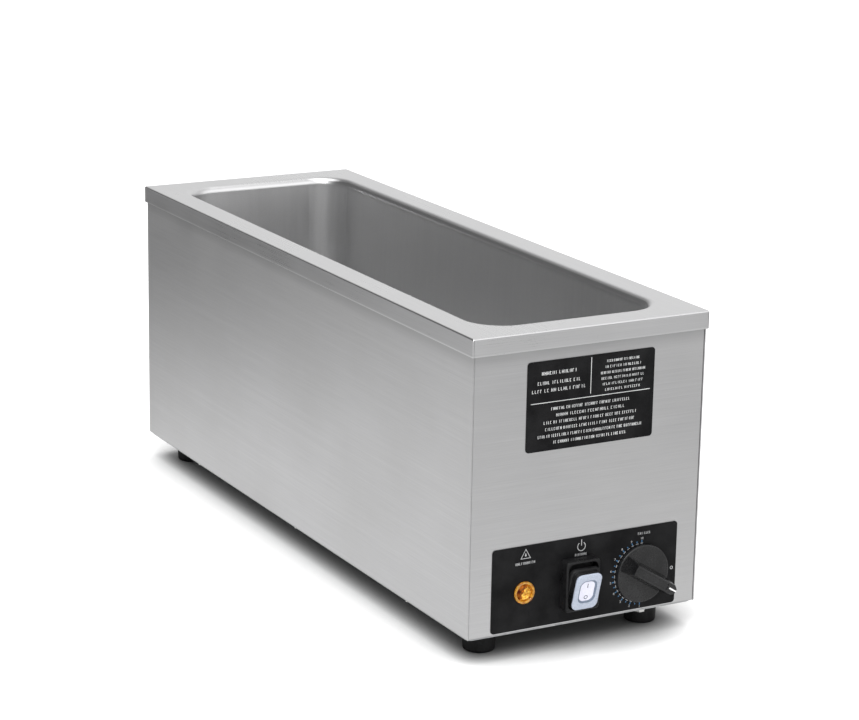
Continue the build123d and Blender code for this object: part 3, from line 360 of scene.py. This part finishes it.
def clear_plastic(name):
    """Slightly frosted clear cap with a cool tint."""
    material, tree, shader = start_material(
        name, (0.62, 0.68, 0.80), 0.12, 0.0,
        Transmission_Weight=0.3, IOR=1.46, Coat_Weight=0.4, Coat_Roughness=0.05,
    )
    speck = noise(tree, (1100.0, 1100.0, 1100.0), 3.0, 0.6)
    tree.links.new(
        blend_colours(tree, ramp(tree, speck, 0.3, 0.7, 0.0, 1.0), (0.52, 0.58, 0.71), (0.68, 0.74, 0.86)),
        shader.inputs["Base Color"],
    )
    tree.links.new(ramp(tree, speck, 0.3, 0.7, 0.08, 0.2), shader.inputs["Roughness"])
    bump(tree, shader, speck, 0.15, 0.03 * MM)
    return material


finishes = {
    "galvanised_sheet": galvanised("galvanised_sheet"),
    "plated_steel": moulded("plated_steel", (0.60, 0.60, 0.59), 0.26, 1500.0, 0.02, 0.15, 1.0),
    "aluminium_sheet": moulded("aluminium_sheet", (0.72, 0.73, 0.74), 0.38, 1300.0, 0.03, 0.12, 1.0),
    "element_sheath": moulded("element_sheath", (0.19, 0.17, 0.15), 0.45, 700.0, 0.05, 0.45, 1.0),
    "foot_rubber": moulded(
        "foot_rubber", (0.008, 0.008, 0.0085), 0.55, 1100.0, 0.06, 0.8, Specular_IOR_Level=0.22
    ),
    "boot_rubber": moulded(
        "boot_rubber", (0.006, 0.006, 0.0065), 0.3, 1300.0, 0.03, 0.7, Specular_IOR_Level=0.2
    ),
    "graphics_black": moulded(
        "graphics_black", (0.006, 0.006, 0.0065), 0.38, 1700.0, 0.02, 0.5, Specular_IOR_Level=0.08
    ),
    "knob_plastic": moulded(
        "knob_plastic", (0.007, 0.007, 0.0075), 0.24, 1500.0, 0.02, 0.7, Specular_IOR_Level=0.4
    ),
    "black_plastic": moulded("black_plastic", (0.02, 0.02, 0.021), 0.4, 1200.0, 0.04, 0.6),
    "gland_nylon": moulded("gland_nylon", (0.018, 0.018, 0.019), 0.45, 1200.0, 0.05, 0.7),
    "phenolic_brown": moulded("phenolic_brown", (0.12, 0.045, 0.02), 0.4, 900.0, 0.05, 0.4),
    "lamp_glass": moulded("lamp_glass", (0.95, 0.86, 0.7), 0.1, 500.0, 0.01, 0.1, Transmission_Weight=0.8),
    "white_plastic": moulded("white_plastic", (0.84, 0.86, 0.92), 0.38, 1400.0, 0.03, 0.1),
    "white_paint": moulded("white_paint", (0.86, 0.86, 0.86), 0.5, 2200.0, 0.02, 0.12),
    "brass_terminal": moulded("brass_terminal", (0.78, 0.58, 0.24), 0.3, 1300.0, 0.02, 0.2, 1.0),
    "copper": moulded("copper", (0.80, 0.42, 0.26), 0.28, 1000.0, 0.02, 0.25, 1.0),
    "wire_insulation_black": moulded(
        "wire_insulation_black", (0.015, 0.015, 0.015), 0.42, 1200.0, 0.03, 0.6
    ),
    "wire_insulation_red": moulded(
        "wire_insulation_red", (0.45, 0.02, 0.015), 0.42, 1200.0, 0.03, 0.2
    ),
    "wire_insulation_green": moulded(
        "wire_insulation_green", (0.03, 0.24, 0.05), 0.42, 1200.0, 0.03, 0.2
    ),
    "mineral_wool": mineral_wool("mineral_wool"),
    "amber_lens": amber_glass("amber_lens"),
    "clear_window": clear_plastic("clear_window"),
    "brushed_stainless": cabinet_steel(),
}
for node in nodes.values():
    for place in node.material_slots:
        place.material = finishes[place.material.name.split(".")[0]]
nodes["well_and_rim"].material_slots[0].material = top_steel()


# ------------------------------------------------------------------ printed marks
def front_space(face_y):
    """Turns (x, z, out) on a front face into a point."""
    return lambda x, z, out: Vector((x, face_y - out, z))


def rocker_space():
    """Turns (across, up, out) on the tilted rocker into a point."""
    pivot = joint_places["power_rocker"]
    up = Vector((0.0, -math.sin(ROCKER_TILT), math.cos(ROCKER_TILT)))
    outward = Vector((0.0, -math.cos(ROCKER_TILT), -math.sin(ROCKER_TILT)))
    return lambda x, z, out: pivot + Vector((x, 0.0, 0.0)) + up * z + outward * out


def add_plate(mesh, outline, space, bottom=-PRINT_SINK, top=PRINT_RISE):
    """A thin closed plate with that convex outline."""
    low = [mesh.verts.new(space(x, z, bottom)) for x, z in outline]
    high = [mesh.verts.new(space(x, z, top)) for x, z in outline]
    mesh.faces.new(high)
    mesh.faces.new(list(reversed(low)))
    count = len(outline)
    for i in range(count):
        j = (i + 1) % count
        mesh.faces.new((low[i], low[j], high[j], high[i]))


def add_band(mesh, left, right, closed, space):
    """A thin closed band between two rows of points, joined end to end if it is closed."""
    rows = [
        [mesh.verts.new(space(x, z, out)) for x, z in side]
        for side, out in ((left, PRINT_RISE), (right, PRINT_RISE), (right, -PRINT_SINK), (left, -PRINT_SINK))
    ]
    count = len(left)
    for i in range(count if closed else count - 1):
        j = (i + 1) % count
        for first, second in zip(rows, rows[1:] + rows[:1]):
            mesh.faces.new((first[i], first[j], second[j], second[i]))
    if not closed:
        mesh.faces.new([row[0] for row in rows])
        mesh.faces.new([row[-1] for row in reversed(rows)])


def arc_band(mesh, centre, radius, width, start, end, space):
    """A ring, or part of one, of that width."""
    closed = abs(end - start) >= 360.0
    steps = max(6, int(abs(end - start) / 7.5))
    count = steps if closed else steps + 1
    sides = []
    for r in (radius - width / 2, radius + width / 2):
        angles = [math.radians(start + (end - start) * i / steps) for i in range(count)]
        sides.append([(centre[0] + r * math.cos(a), centre[1] + r * math.sin(a)) for a in angles])
    add_band(mesh, sides[0], sides[1], closed, space)


def bar(mesh, centre, size, space, turn=0.0):
    """A straight mark about its centre, turned by an angle in degrees."""
    half_x, half_z = size[0] / 2, size[1] / 2
    c, s = math.cos(math.radians(turn)), math.sin(math.radians(turn))
    corners = ((-half_x, -half_z), (half_x, -half_z), (half_x, half_z), (-half_x, half_z))
    add_plate(mesh, [(centre[0] + x * c - z * s, centre[1] + x * s + z * c) for x, z in corners], space)


def finish_piece(name, mesh, material, body="housing", smooth=False):
    """Turns worked mesh data into a named piece that rides on a body."""
    bmesh.ops.recalc_face_normals(mesh, faces=mesh.faces)
    data = bpy.data.meshes.new(name)
    mesh.to_mesh(data)
    mesh.free()
    for face in data.polygons:
        face.use_smooth = smooth
    data.materials.append(material)
    piece = bpy.data.objects.new(name, data)
    bpy.context.scene.collection.objects.link(piece)
    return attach(piece, body)


STROKE = 0.17
GLYPHS = (
    ((0.0, "upright"), (1.0, "upright")),
    ((0.0, "upright"), (0.5, "foot")),
    ((0.0, "upright"), (0.5, "head")),
    ((0.5, "upright"),),
    ((0.0, "upright"), (0.5, "foot"), (0.5, "head")),
    ((0.0, "upright"), (0.5, "middle"), (1.0, "upright")),
)


def print_block(mesh, left, z, width, height, glyph, space):
    """One small pattern of separate strokes, like a letter seen from far away."""
    stroke = STROKE * height
    for share, kind in glyph:
        if kind == "upright":
            bar(mesh, (left + stroke / 2 + share * (width - stroke), z), (stroke, height), space)
        else:
            rise = {"foot": -0.5, "middle": 0.0, "head": 0.5}[kind] * (height - stroke)
            run = width - 2.3 * stroke
            bar(mesh, (left + width / 2, z + rise), (run, stroke), space)


def word_row(mesh, left, right, z, height, space, dice):
    """Small stroke patterns in word-sized groups: a stand-in for a line of small print."""
    width = 0.66 * height
    gap = 0.26 * height
    word_gap = 0.5 * height
    words = []
    used = 0.0
    while used < right - left:
        letters = dice.randint(2, 9)
        words.append(letters)
        used += letters * (width + gap) + word_gap
    pitch_share = (right - left) / (used - word_gap - gap)
    x = left
    for letters in words:
        for _ in range(letters):
            print_block(mesh, x, z, width * pitch_share, height, dice.choice(GLYPHS), space)
            x += (width + gap) * pitch_share
        x += word_gap * pitch_share


label_ink = moulded("label_ink", (0.62, 0.63, 0.63), 0.5, 2400.0, 0.02, 0.3)
plate_ink = moulded("plate_ink", (0.47, 0.475, 0.48), 0.5, 2400.0, 0.02, 0.3)
dial_ink = moulded("dial_ink", (0.045, 0.15, 0.30), 0.5, 2400.0, 0.02, 0.3)
window_ink = moulded("window_ink", (0.05, 0.055, 0.08), 0.45, 2400.0, 0.02, 0.3)

# Printing on the upper plate: dividing lines and rows of small print.  Row places and half lengths
# are in millimetres from the plate's middle; letter heights are in metres.
HEADING_ROWS = ((22.9, 13.8), (16.2, 16.9), (10.8, 21.2))
HEADING_CENTRE = -25.8
HEADING_HEIGHT = 2.3 * MM
NOTE_ROWS = (13.2, 14.6, 17.8, 17.2, 16.4, 14.0)
NOTE_CENTRE = 25.2
NOTE_TOP = 26.1
NOTE_PITCH = 4.03
NOTE_HEIGHT = 1.75 * MM
LOWER_ROWS = (31.4, 27.4, 37.1, 35.8, 41.5, 29.3)
LOWER_TOP = -2.5
LOWER_PITCH = 4.75
LOWER_HEIGHT = 2.05 * MM
dice = random.Random(5)
label_space = front_space(label_low.y)
LABEL_MID_Z = (label_low.z + label_high.z) / 2
print_mesh = bmesh.new()
bar(print_mesh, (0.0, LABEL_MID_Z + 2.4 * MM), (95.4 * MM, 0.45 * MM), label_space)
bar(print_mesh, (-0.5 * MM, LABEL_MID_Z + 17.4 * MM), (0.45 * MM, 25.6 * MM), label_space)
for row_z, half_row in HEADING_ROWS:
    left = (HEADING_CENTRE - half_row) * MM
    right = (HEADING_CENTRE + half_row) * MM
    z = LABEL_MID_Z + row_z * MM
    word_row(print_mesh, left, right, z, HEADING_HEIGHT, label_space, dice)
for row, half_row in enumerate(NOTE_ROWS):
    left = (NOTE_CENTRE - half_row) * MM
    right = (NOTE_CENTRE + half_row) * MM
    z = LABEL_MID_Z + (NOTE_TOP - NOTE_PITCH * row) * MM
    word_row(print_mesh, left, right, z, NOTE_HEIGHT, label_space, dice)
for row, half_row in enumerate(LOWER_ROWS):
    z = LABEL_MID_Z + (LOWER_TOP - LOWER_PITCH * row) * MM
    word_row(print_mesh, -half_row * MM, half_row * MM, z, LOWER_HEIGHT, label_space, dice)
finish_piece("label_print", print_mesh, label_ink)

# Printing on the control plate
FACE = front_space(plate_low.y)
LAMP_CENTRE = Vector(((lens_low.x + lens_high.x) / 2, (lens_low.z + lens_high.z) / 2))
KNOB_CENTRE = Vector((joint_places["heat_knob"].x, joint_places["heat_knob"].z))
SWITCH_CENTRE = Vector(((boot_low.x + boot_high.x) / 2, (boot_low.z + boot_high.z) / 2))

icon_mesh = bmesh.new()
APEX = (LAMP_CENTRE.x + 0.7 * MM, LAMP_CENTRE.y + 31.4 * MM)
TRIANGLE_HALF = 4.1 * MM
TRIANGLE_HEIGHT = 7.1 * MM
LINE = 0.5 * MM
outer = [
    (APEX[0] - TRIANGLE_HALF, APEX[1] - TRIANGLE_HEIGHT),
    (APEX[0] + TRIANGLE_HALF, APEX[1] - TRIANGLE_HEIGHT),
    (APEX[0], APEX[1]),
]
middle = (APEX[0], APEX[1] - TRIANGLE_HEIGHT * 0.64)
inner = [(middle[0] + (x - middle[0]) * 0.84, middle[1] + (z - middle[1]) * 0.84) for x, z in outer]
add_band(icon_mesh, outer, inner, True, FACE)
# a water drop inside the triangle
DROP_RADIUS = 0.62 * MM
drop_centre = (APEX[0], APEX[1] - 4.9 * MM)
drop = []
for degrees in range(-215, 36, 25):
    turn = math.radians(degrees)
    across, up = DROP_RADIUS * math.cos(turn), DROP_RADIUS * math.sin(turn)
    drop.append((drop_centre[0] + across, drop_centre[1] + up))
drop.append((drop_centre[0], drop_centre[1] + 2.2 * MM))
add_plate(icon_mesh, drop, FACE)
# the on and off sign above the rocker
POWER_CENTRE = (SWITCH_CENTRE.x + 2.9 * MM, SWITCH_CENTRE.y + 25.6 * MM)
arc_band(icon_mesh, POWER_CENTRE, 3.1 * MM, LINE, 125.0, 415.0, FACE)
bar(icon_mesh, (POWER_CENTRE[0], POWER_CENTRE[1] + 2.7 * MM), (LINE, 4.4 * MM), FACE)
# the off mark beside the dial
off_centre = (KNOB_CENTRE.x + 25.8 * MM, KNOB_CENTRE.y - 0.4 * MM)
arc_band(icon_mesh, off_centre, 1.0 * MM, LINE, 0.0, 360.0, FACE)
# one word under each icon and one above the dial, in millimetres from the lamp: left, right, height
for word_left, word_right, word_z in ((-7.2, 8.2, 21.1), (40.3, 50.2, 20.7), (91.7, 102.2, 28.7)):
    left = LAMP_CENTRE.x + word_left * MM
    right = LAMP_CENTRE.x + word_right * MM
    word_row(icon_mesh, left, right, LAMP_CENTRE.y + word_z * MM, 1.8 * MM, FACE, dice)
finish_piece("faceplate_print", icon_mesh, plate_ink)

tick_mesh = bmesh.new()
for mark in range(DIAL_MARKS * 2 - 1):
    angle = DIAL_FIRST_ANGLE + DIAL_STEP * mark / 2
    direction = Vector((math.cos(math.radians(angle)), math.sin(math.radians(angle))))
    long_mark = mark % 2 == 0
    place = KNOB_CENTRE + direction * DIAL_TICK_RADIUS
    bar(tick_mesh, place, ((1.8 if long_mark else 1.2) * MM, 0.7 * MM), FACE, angle)
finish_piece("dial_ticks", tick_mesh, dial_ink)

# a dashed ring just outside the knob's edge, inside the ticks
ring_mesh = bmesh.new()
for mark in range(DIAL_MARKS * 2 - 1):
    angle = DIAL_FIRST_ANGLE + DIAL_STEP * mark / 2
    start, end = angle - DIAL_DASH_HALF, angle + DIAL_DASH_HALF
    arc_band(ring_mesh, KNOB_CENTRE, DIAL_RING_RADIUS, 0.4 * MM, start, end, FACE)
finish_piece("dial_ring", ring_mesh, plate_ink)


def add_numeral(mesh, text, centre, height, space):
    """A numeral in the plain built-in face, as a thin solid."""
    curve = bpy.data.curves.new("numeral", "FONT")
    curve.body = text
    curve.size = height / 0.7
    curve.align_x = "CENTER"
    curve.align_y = "CENTER"
    curve.extrude = (PRINT_RISE + PRINT_SINK) / 2
    curve.resolution_u = 3
    holder = bpy.data.objects.new("numeral", curve)
    data = bpy.data.meshes.new_from_object(holder)
    for vertex in data.vertices:
        x, z, out = vertex.co
        vertex.co = space(centre[0] + x, centre[1] + z, out)
    mesh.from_mesh(data)
    bpy.data.objects.remove(holder)
    bpy.data.curves.remove(curve)
    bpy.data.meshes.remove(data)


numeral_mesh = bmesh.new()
for mark in range(DIAL_MARKS):
    angle = math.radians(DIAL_FIRST_ANGLE + DIAL_STEP * mark)
    direction = Vector((math.cos(angle), math.sin(angle)))
    centre = KNOB_CENTRE + direction * DIAL_NUMERAL_RADIUS
    add_numeral(numeral_mesh, str(mark + 1), centre, 1.7 * MM, FACE)
bmesh.ops.remove_doubles(numeral_mesh, verts=numeral_mesh.verts, dist=1e-7)
finish_piece("dial_numerals", numeral_mesh, plate_ink)

# The rocker's cap: a sloping inner edge, a pale panel, and its on and off signs
def rounded_outline(half_x, half_z, corner, steps=8):
    """Points round a rectangle with round corners."""
    points = []
    for turn, (side_x, side_z) in enumerate(((1, 1), (-1, 1), (-1, -1), (1, -1))):
        for step in range(steps + 1):
            a = math.radians(90.0 * (turn + step / steps))
            points.append((
                side_x * (half_x - corner) + corner * math.cos(a),
                side_z * (half_z - corner) + corner * math.sin(a),
            ))
    return points


def add_ring(mesh, rows, space):
    """A closed ring through rows of points, each row at its own height."""
    loops = [[mesh.verts.new(space(x, z, out)) for x, z in outline] for outline, out in rows]
    count = len(loops[0])
    for first, second in zip(loops, loops[1:] + loops[:1]):
        for i in range(count):
            j = (i + 1) % count
            mesh.faces.new((first[i], first[j], second[j], second[i]))


tilted = rocker_space()
PANEL_RISE = 0.4 * MM
PANEL_FOOT = 0.02 * MM
PANEL_TOP = 0.16 * MM
# half width, half height and corner radius
SLOPE_OUTER = (6.98 * MM, 9.18 * MM, 4.9 * MM)
SLOPE_INNER = (5.7 * MM, 7.9 * MM, 4.1 * MM)
PANEL_OUTLINE = (5.62 * MM, 7.82 * MM, 4.0 * MM)


def panel_face(x, z, out):
    """A point on the pale panel, whose centre sits a little above the cap's."""
    return tilted(x, z + PANEL_RISE, ROCKER_PRINT_OUT + out)


slope_mesh = bmesh.new()
add_ring(
    slope_mesh,
    (
        (rounded_outline(*SLOPE_OUTER), PANEL_FOOT),
        (rounded_outline(*SLOPE_OUTER), 0.92 * MM),
        (rounded_outline(*SLOPE_INNER), 0.2 * MM),
        (rounded_outline(*SLOPE_INNER), PANEL_FOOT),
    ),
    panel_face,
)
slope_plastic = moulded("slope_plastic", (0.17, 0.21, 0.28), 0.25, 1200.0, 0.02, 0.2)
finish_piece("rocker_panel_edge", slope_mesh, slope_plastic, "rocker", True)
panel_mesh = bmesh.new()
add_plate(panel_mesh, rounded_outline(*PANEL_OUTLINE), panel_face, PANEL_FOOT, PANEL_TOP)
panel_plastic = moulded("panel_plastic", (0.74, 0.74, 0.85), 0.4, 900.0, 0.04, 0.12)
finish_piece("rocker_panel", panel_mesh, panel_plastic, "rocker")
rocker_marks = bmesh.new()


def mark_face(x, z, out):
    """A point on the pale panel's printed face."""
    return panel_face(x, z, out + PANEL_TOP)


bar(rocker_marks, (0.0, 4.4 * MM), (0.6 * MM, 3.4 * MM), mark_face)
arc_band(rocker_marks, (0.0, -4.9 * MM), 1.3 * MM, 0.5 * MM, 0.0, 360.0, mark_face)
finish_piece("rocker_marks", rocker_marks, window_ink, "rocker")


# ------------------------------------------------------------------ faceted amber lens
def lens_point(radius, angle, out):
    """A point on the lens, by distance from its axis, angle and height off the casing."""
    return Vector((
        LAMP_CENTRE.x + radius * math.cos(angle),
        LENS_BASE_Y - out,
        LAMP_CENTRE.y + radius * math.sin(angle),
    ))


LENS_RISE = 2.5 * MM
LENS_BASE_Y = lens_low.y + LENS_RISE
RING_SEGMENTS = 72
# radius and height in millimetres, round the bead's section
RING_PROFILE = (
    (8.0, 0.55), (8.0, 1.5), (7.93, 1.86), (7.72, 2.18), (7.42, 2.4), (7.1, 2.48),
    (6.78, 2.4), (6.48, 2.18), (6.27, 1.86), (6.2, 1.5), (6.1, 1.0), (5.4, 0.55),
)


def lens_ring():
    """The rounded bead round the lens, as a closed lathe form."""
    mesh = bmesh.new()
    rows = []
    for radius, out in RING_PROFILE:
        angles = [2 * math.pi * i / RING_SEGMENTS for i in range(RING_SEGMENTS)]
        rows.append([mesh.verts.new(lens_point(radius * MM, a, out * MM)) for a in angles])
    for first, second in zip(rows, rows[1:] + rows[:1]):
        for i in range(RING_SEGMENTS):
            j = (i + 1) % RING_SEGMENTS
            mesh.faces.new((first[i], first[j], second[j], second[i]))
    return mesh


# each ring: radius and height in millimetres, number of points, turn in steps
FACET_RINGS = ((6.02, 1.0, 12, 0.5), (4.4, 2.0, 12, 0.0), (2.6, 1.25, 6, 0.5), (1.3, 1.9, 6, 0.0))


def lens_facets():
    """Cut facets across the lens: rings of points at changing heights, joined by triangles."""
    mesh = bmesh.new()
    rings = []
    for radius, out, count, offset in FACET_RINGS:
        angles = [2 * math.pi * (i + offset) / count for i in range(count)]
        rings.append([mesh.verts.new(lens_point(radius * MM, a, out * MM)) for a in angles])
    rim_ring, crown, valley, table = rings
    for i in range(12):
        j = (i + 1) % 12
        mesh.faces.new((rim_ring[i], rim_ring[j], crown[j]))
        mesh.faces.new((crown[i], rim_ring[i], crown[j]))
    for i in range(6):
        before, mid, after = crown[2 * i], crown[2 * i + 1], crown[(2 * i + 2) % 12]
        mesh.faces.new((before, mid, valley[i]))
        mesh.faces.new((mid, after, valley[i]))
        mesh.faces.new((after, valley[(i + 1) % 6], valley[i]))
        mesh.faces.new((valley[i], valley[(i + 1) % 6], table[(i + 1) % 6]))
        mesh.faces.new((table[i], valley[i], table[(i + 1) % 6]))
    mesh.faces.new(table)
    back = [mesh.verts.new(vertex.co + Vector((0.0, 0.6 * MM, 0.0))) for vertex in rim_ring]
    for i in range(12):
        j = (i + 1) % 12
        mesh.faces.new((rim_ring[i], rim_ring[j], back[j], back[i]))
    mesh.faces.new(back)
    return mesh


lens_bead = finish_piece("pilot_lens_bead", lens_ring(), finishes["amber_lens"], smooth=True)
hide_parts("pilot_lens")
facets = finish_piece(
    "pilot_lens_facets",
    lens_facets(),
    amber_reflector("amber_bright", (0.62, 0.26, 0.02), (1.0, 0.62, 0.13)),
)
# painted shade: the facets towards the upper left take a deep red-brown copy of the reflector tint, the rest
# keep the bright one
PAINTED_SHADE_SIDE = Vector((-0.85, 0.0, 0.5))
PAINTED_SHADE_FROM = 0.9 * MM
facets.data.materials.append(amber_reflector("amber_painted_shade", (0.10, 0.012, 0.003), (0.40, 0.12, 0.01)))
lens_centre = Vector((LAMP_CENTRE.x, 0.0, LAMP_CENTRE.y))
for face in facets.data.polygons:
    face.material_index = 1 if (face.center - lens_centre).dot(PAINTED_SHADE_SIDE) > PAINTED_SHADE_FROM else 0


# ------------------------------------------------------------------ floor and light
STAGE_RADIUS = 30.0


def emitter(name, colour, strength):
    """A plain light-giving material for studio cards."""
    material = bpy.data.materials.new(name)
    material.use_nodes = True
    tree = material.node_tree
    tree.nodes.remove(tree.nodes["Principled BSDF"])
    glow = add_node(tree, "ShaderNodeEmission", Color=(*colour, 1.0), Strength=strength)
    tree.links.new(glow.outputs["Emission"], tree.nodes["Material Output"].inputs["Surface"])
    return material, tree, glow


def disc_object(name, radius, z, material):
    """A large flat round plane for the stage."""
    mesh = bmesh.new()
    bmesh.ops.create_circle(mesh, cap_ends=True, cap_tris=False, segments=96, radius=radius)
    data = bpy.data.meshes.new(name)
    mesh.to_mesh(data)
    mesh.free()
    data.materials.append(material)
    disc = bpy.data.objects.new(name, data)
    disc.location.z = z
    bpy.context.scene.collection.objects.link(disc)
    return disc


floor_material, floor_tree, floor_shader = start_material("studio_floor", (0.9, 0.9, 0.9), 0.9)
floor_tone = noise(floor_tree, (3.0, 3.0, 3.0), 3.0, 0.5)
open_colour = blend_colours(floor_tree, floor_tone, (0.90, 0.90, 0.905), (0.94, 0.94, 0.935))
openness = add_node(floor_tree, "ShaderNodeAmbientOcclusion", Distance=0.06, samples=16)
# painted contact shadow: the floor's colour darkens, and its glow fades, where the cabinet closes it in
open_share = ramp(floor_tree, openness.outputs["AO"], 0.05, 0.75, 0.0, 1.0)
floor_tree.links.new(
    blend_colours(floor_tree, open_share, (0.22, 0.22, 0.22), open_colour), floor_shader.inputs["Base Color"]
)
floor_tree.links.new(
    ramp(floor_tree, openness.outputs["AO"], 0.45, 0.95, 0.0, 0.24), floor_shader.inputs["Emission Strength"]
)
floor_shader.inputs["Emission Color"].default_value = (1.0, 1.0, 1.0, 1.0)
floor = disc_object("studio_floor", STAGE_RADIUS, -0.2 * MM, floor_material)
floor.visible_glossy = False

# What polished metal sees below the horizon: a lit table that falls away to the back left
card_material, card_tree, card_glow = emitter("table_card", (1.0, 1.0, 1.0), 1.0)
CARD_DARK_PLACE = (-0.55, 1.15, 0.0)
card_place = add_node(card_tree, "ShaderNodeTexCoord")
card_away = add_node(card_tree, "ShaderNodeVectorMath", operation="DISTANCE")
card_tree.links.new(card_place.outputs["Object"], card_away.inputs[0])
card_away.inputs[1].default_value = CARD_DARK_PLACE
card_level = math_node(
    card_tree,
    "SUBTRACT",
    ramp(card_tree, card_away.outputs["Value"], 0.05, 1.05, 0.16, 1.0),
    ramp(card_tree, card_away.outputs["Value"], 1.35, 2.3, 0.0, 0.42),
)
beside = [
    math_node(
        card_tree, "SUBTRACT",
        math_node(card_tree, "ABSOLUTE", position_part(card_tree, axis), 0.0), edge,
    )
    for axis, edge in (("X", case_high.x), ("Y", case_high.y))
]
past_edge = math_node(card_tree, "MAXIMUM", beside[0], beside[1])
# painted shadow: the card's glow is dimmed under the cabinet and just past its edges, as the table would be
# in its shade
card_shaded = math_node(
    card_tree, "MULTIPLY", card_level, ramp(card_tree, past_edge, -12 * MM, 16 * MM, 0.02, 1.0)
)
card_tree.links.new(card_shaded, card_glow.inputs["Strength"])
card = disc_object("table_card", STAGE_RADIUS, -0.4 * MM, card_material)
card.visible_camera = False
card.visible_diffuse = False
card.visible_shadow = False
card.visible_transmission = False

world = bpy.data.worlds.new("studio")
bpy.context.scene.world = world
world.use_nodes = True
world_tree = world.node_tree
backdrop = world_tree.nodes["Background"]
backdrop.inputs["Color"].default_value = (1.0, 1.0, 1.0, 1.0)
world_place = add_node(world_tree, "ShaderNodeTexCoord")
world_split = add_node(world_tree, "ShaderNodeSeparateXYZ")
world_tree.links.new(world_place.outputs["Generated"], world_split.inputs["Vector"])
# soft light for matt surfaces comes mostly from above
fill = add_node(world_tree, "ShaderNodeBackground")
world_tree.links.new(
    ramp(world_tree, world_split.outputs["Z"], 0.15, 0.85, 0.06, 1.55), fill.inputs["Strength"]
)
# panels that the metal mirrors: brightest in front, dimmer behind and to the left
mirrored = add_node(world_tree, "ShaderNodeBackground")
front_panel_share = ramp(world_tree, world_split.outputs["Y"], -0.95, -0.2, 1.1, 0.0)
side_share = ramp(world_tree, world_split.outputs["X"], -0.15, 0.45, 0.24, 1.0)
world_tree.links.new(
    math_node(world_tree, "ADD", front_panel_share, side_share), mirrored.inputs["Strength"]
)
ray = add_node(world_tree, "ShaderNodeLightPath")
matt_or_mirror = add_node(world_tree, "ShaderNodeMixShader")
world_tree.links.new(ray.outputs["Is Glossy Ray"], matt_or_mirror.inputs["Fac"])
world_tree.links.new(fill.outputs["Background"], matt_or_mirror.inputs[1])
world_tree.links.new(mirrored.outputs["Background"], matt_or_mirror.inputs[2])
seen = add_node(world_tree, "ShaderNodeMixShader")
world_tree.links.new(ray.outputs["Is Camera Ray"], seen.inputs["Fac"])
world_tree.links.new(matt_or_mirror.outputs["Shader"], seen.inputs[1])
world_tree.links.new(backdrop.outputs["Background"], seen.inputs[2])
world_tree.links.new(seen.outputs["Shader"], world_tree.nodes["World Output"].inputs["Surface"])


def area_light(name, place, target, size, energy):
    """A soft panel light aimed at a point."""
    data = bpy.data.lights.new(name, "AREA")
    data.shape = "RECTANGLE"
    data.size, data.size_y = size
    data.energy = energy
    lamp = bpy.data.objects.new(name, data)
    lamp.location = place
    lamp.rotation_euler = (Vector(target) - Vector(place)).to_track_quat("-Z", "Y").to_euler()
    bpy.context.scene.collection.objects.link(lamp)
    return lamp


sky = bpy.data.lights.new("sky_panel", "SUN")
sky.energy = 1.1
sky.angle = math.radians(60.0)
sky_object = bpy.data.objects.new("sky_panel", sky)
sky_object.rotation_euler = (math.radians(8.0), math.radians(-10.0), 0.0)
bpy.context.scene.collection.objects.link(sky_object)
area_light("key_panel", (-0.5, -1.6, 1.6), (0.0, -0.1, 0.1), (1.2, 0.8), 5.0)
area_light("highlight_strip", (-1.1, -1.3, 1.3), (0.0, -0.2, 0.1), (0.12, 0.9), 9.0)

# ------------------------------------------------------------------ camera
CAMERA_TARGET = Vector((0.0456, 0.0343, 0.1256))
CAMERA_BACK = Vector((-0.4686, -0.8440, 0.2612)).normalized()
CAMERA_DISTANCE = 2.1229
CAMERA_LENS = 112.5
CAMERA_ROLL = math.radians(1.07)

camera_data = bpy.data.cameras.new("camera")
camera_data.lens = CAMERA_LENS
camera_data.sensor_width = 36.0
camera_data.clip_start = 0.05
camera_data.clip_end = 100.0
camera = bpy.data.objects.new("camera", camera_data)
level_right = Vector((0.0, 0.0, 1.0)).cross(CAMERA_BACK).normalized()
level_up = CAMERA_BACK.cross(level_right)
right = level_right * math.cos(CAMERA_ROLL) + level_up * math.sin(CAMERA_ROLL)
up = level_up * math.cos(CAMERA_ROLL) - level_right * math.sin(CAMERA_ROLL)
axes = Matrix((right, up, CAMERA_BACK)).transposed().to_4x4()
camera.matrix_world = Matrix.Translation(CAMERA_TARGET + CAMERA_BACK * CAMERA_DISTANCE) @ axes
bpy.context.scene.collection.objects.link(camera)
bpy.context.scene.camera = camera
bpy.context.scene.view_settings.view_transform = "Standard"
bpy.context.scene.view_settings.look = "None"
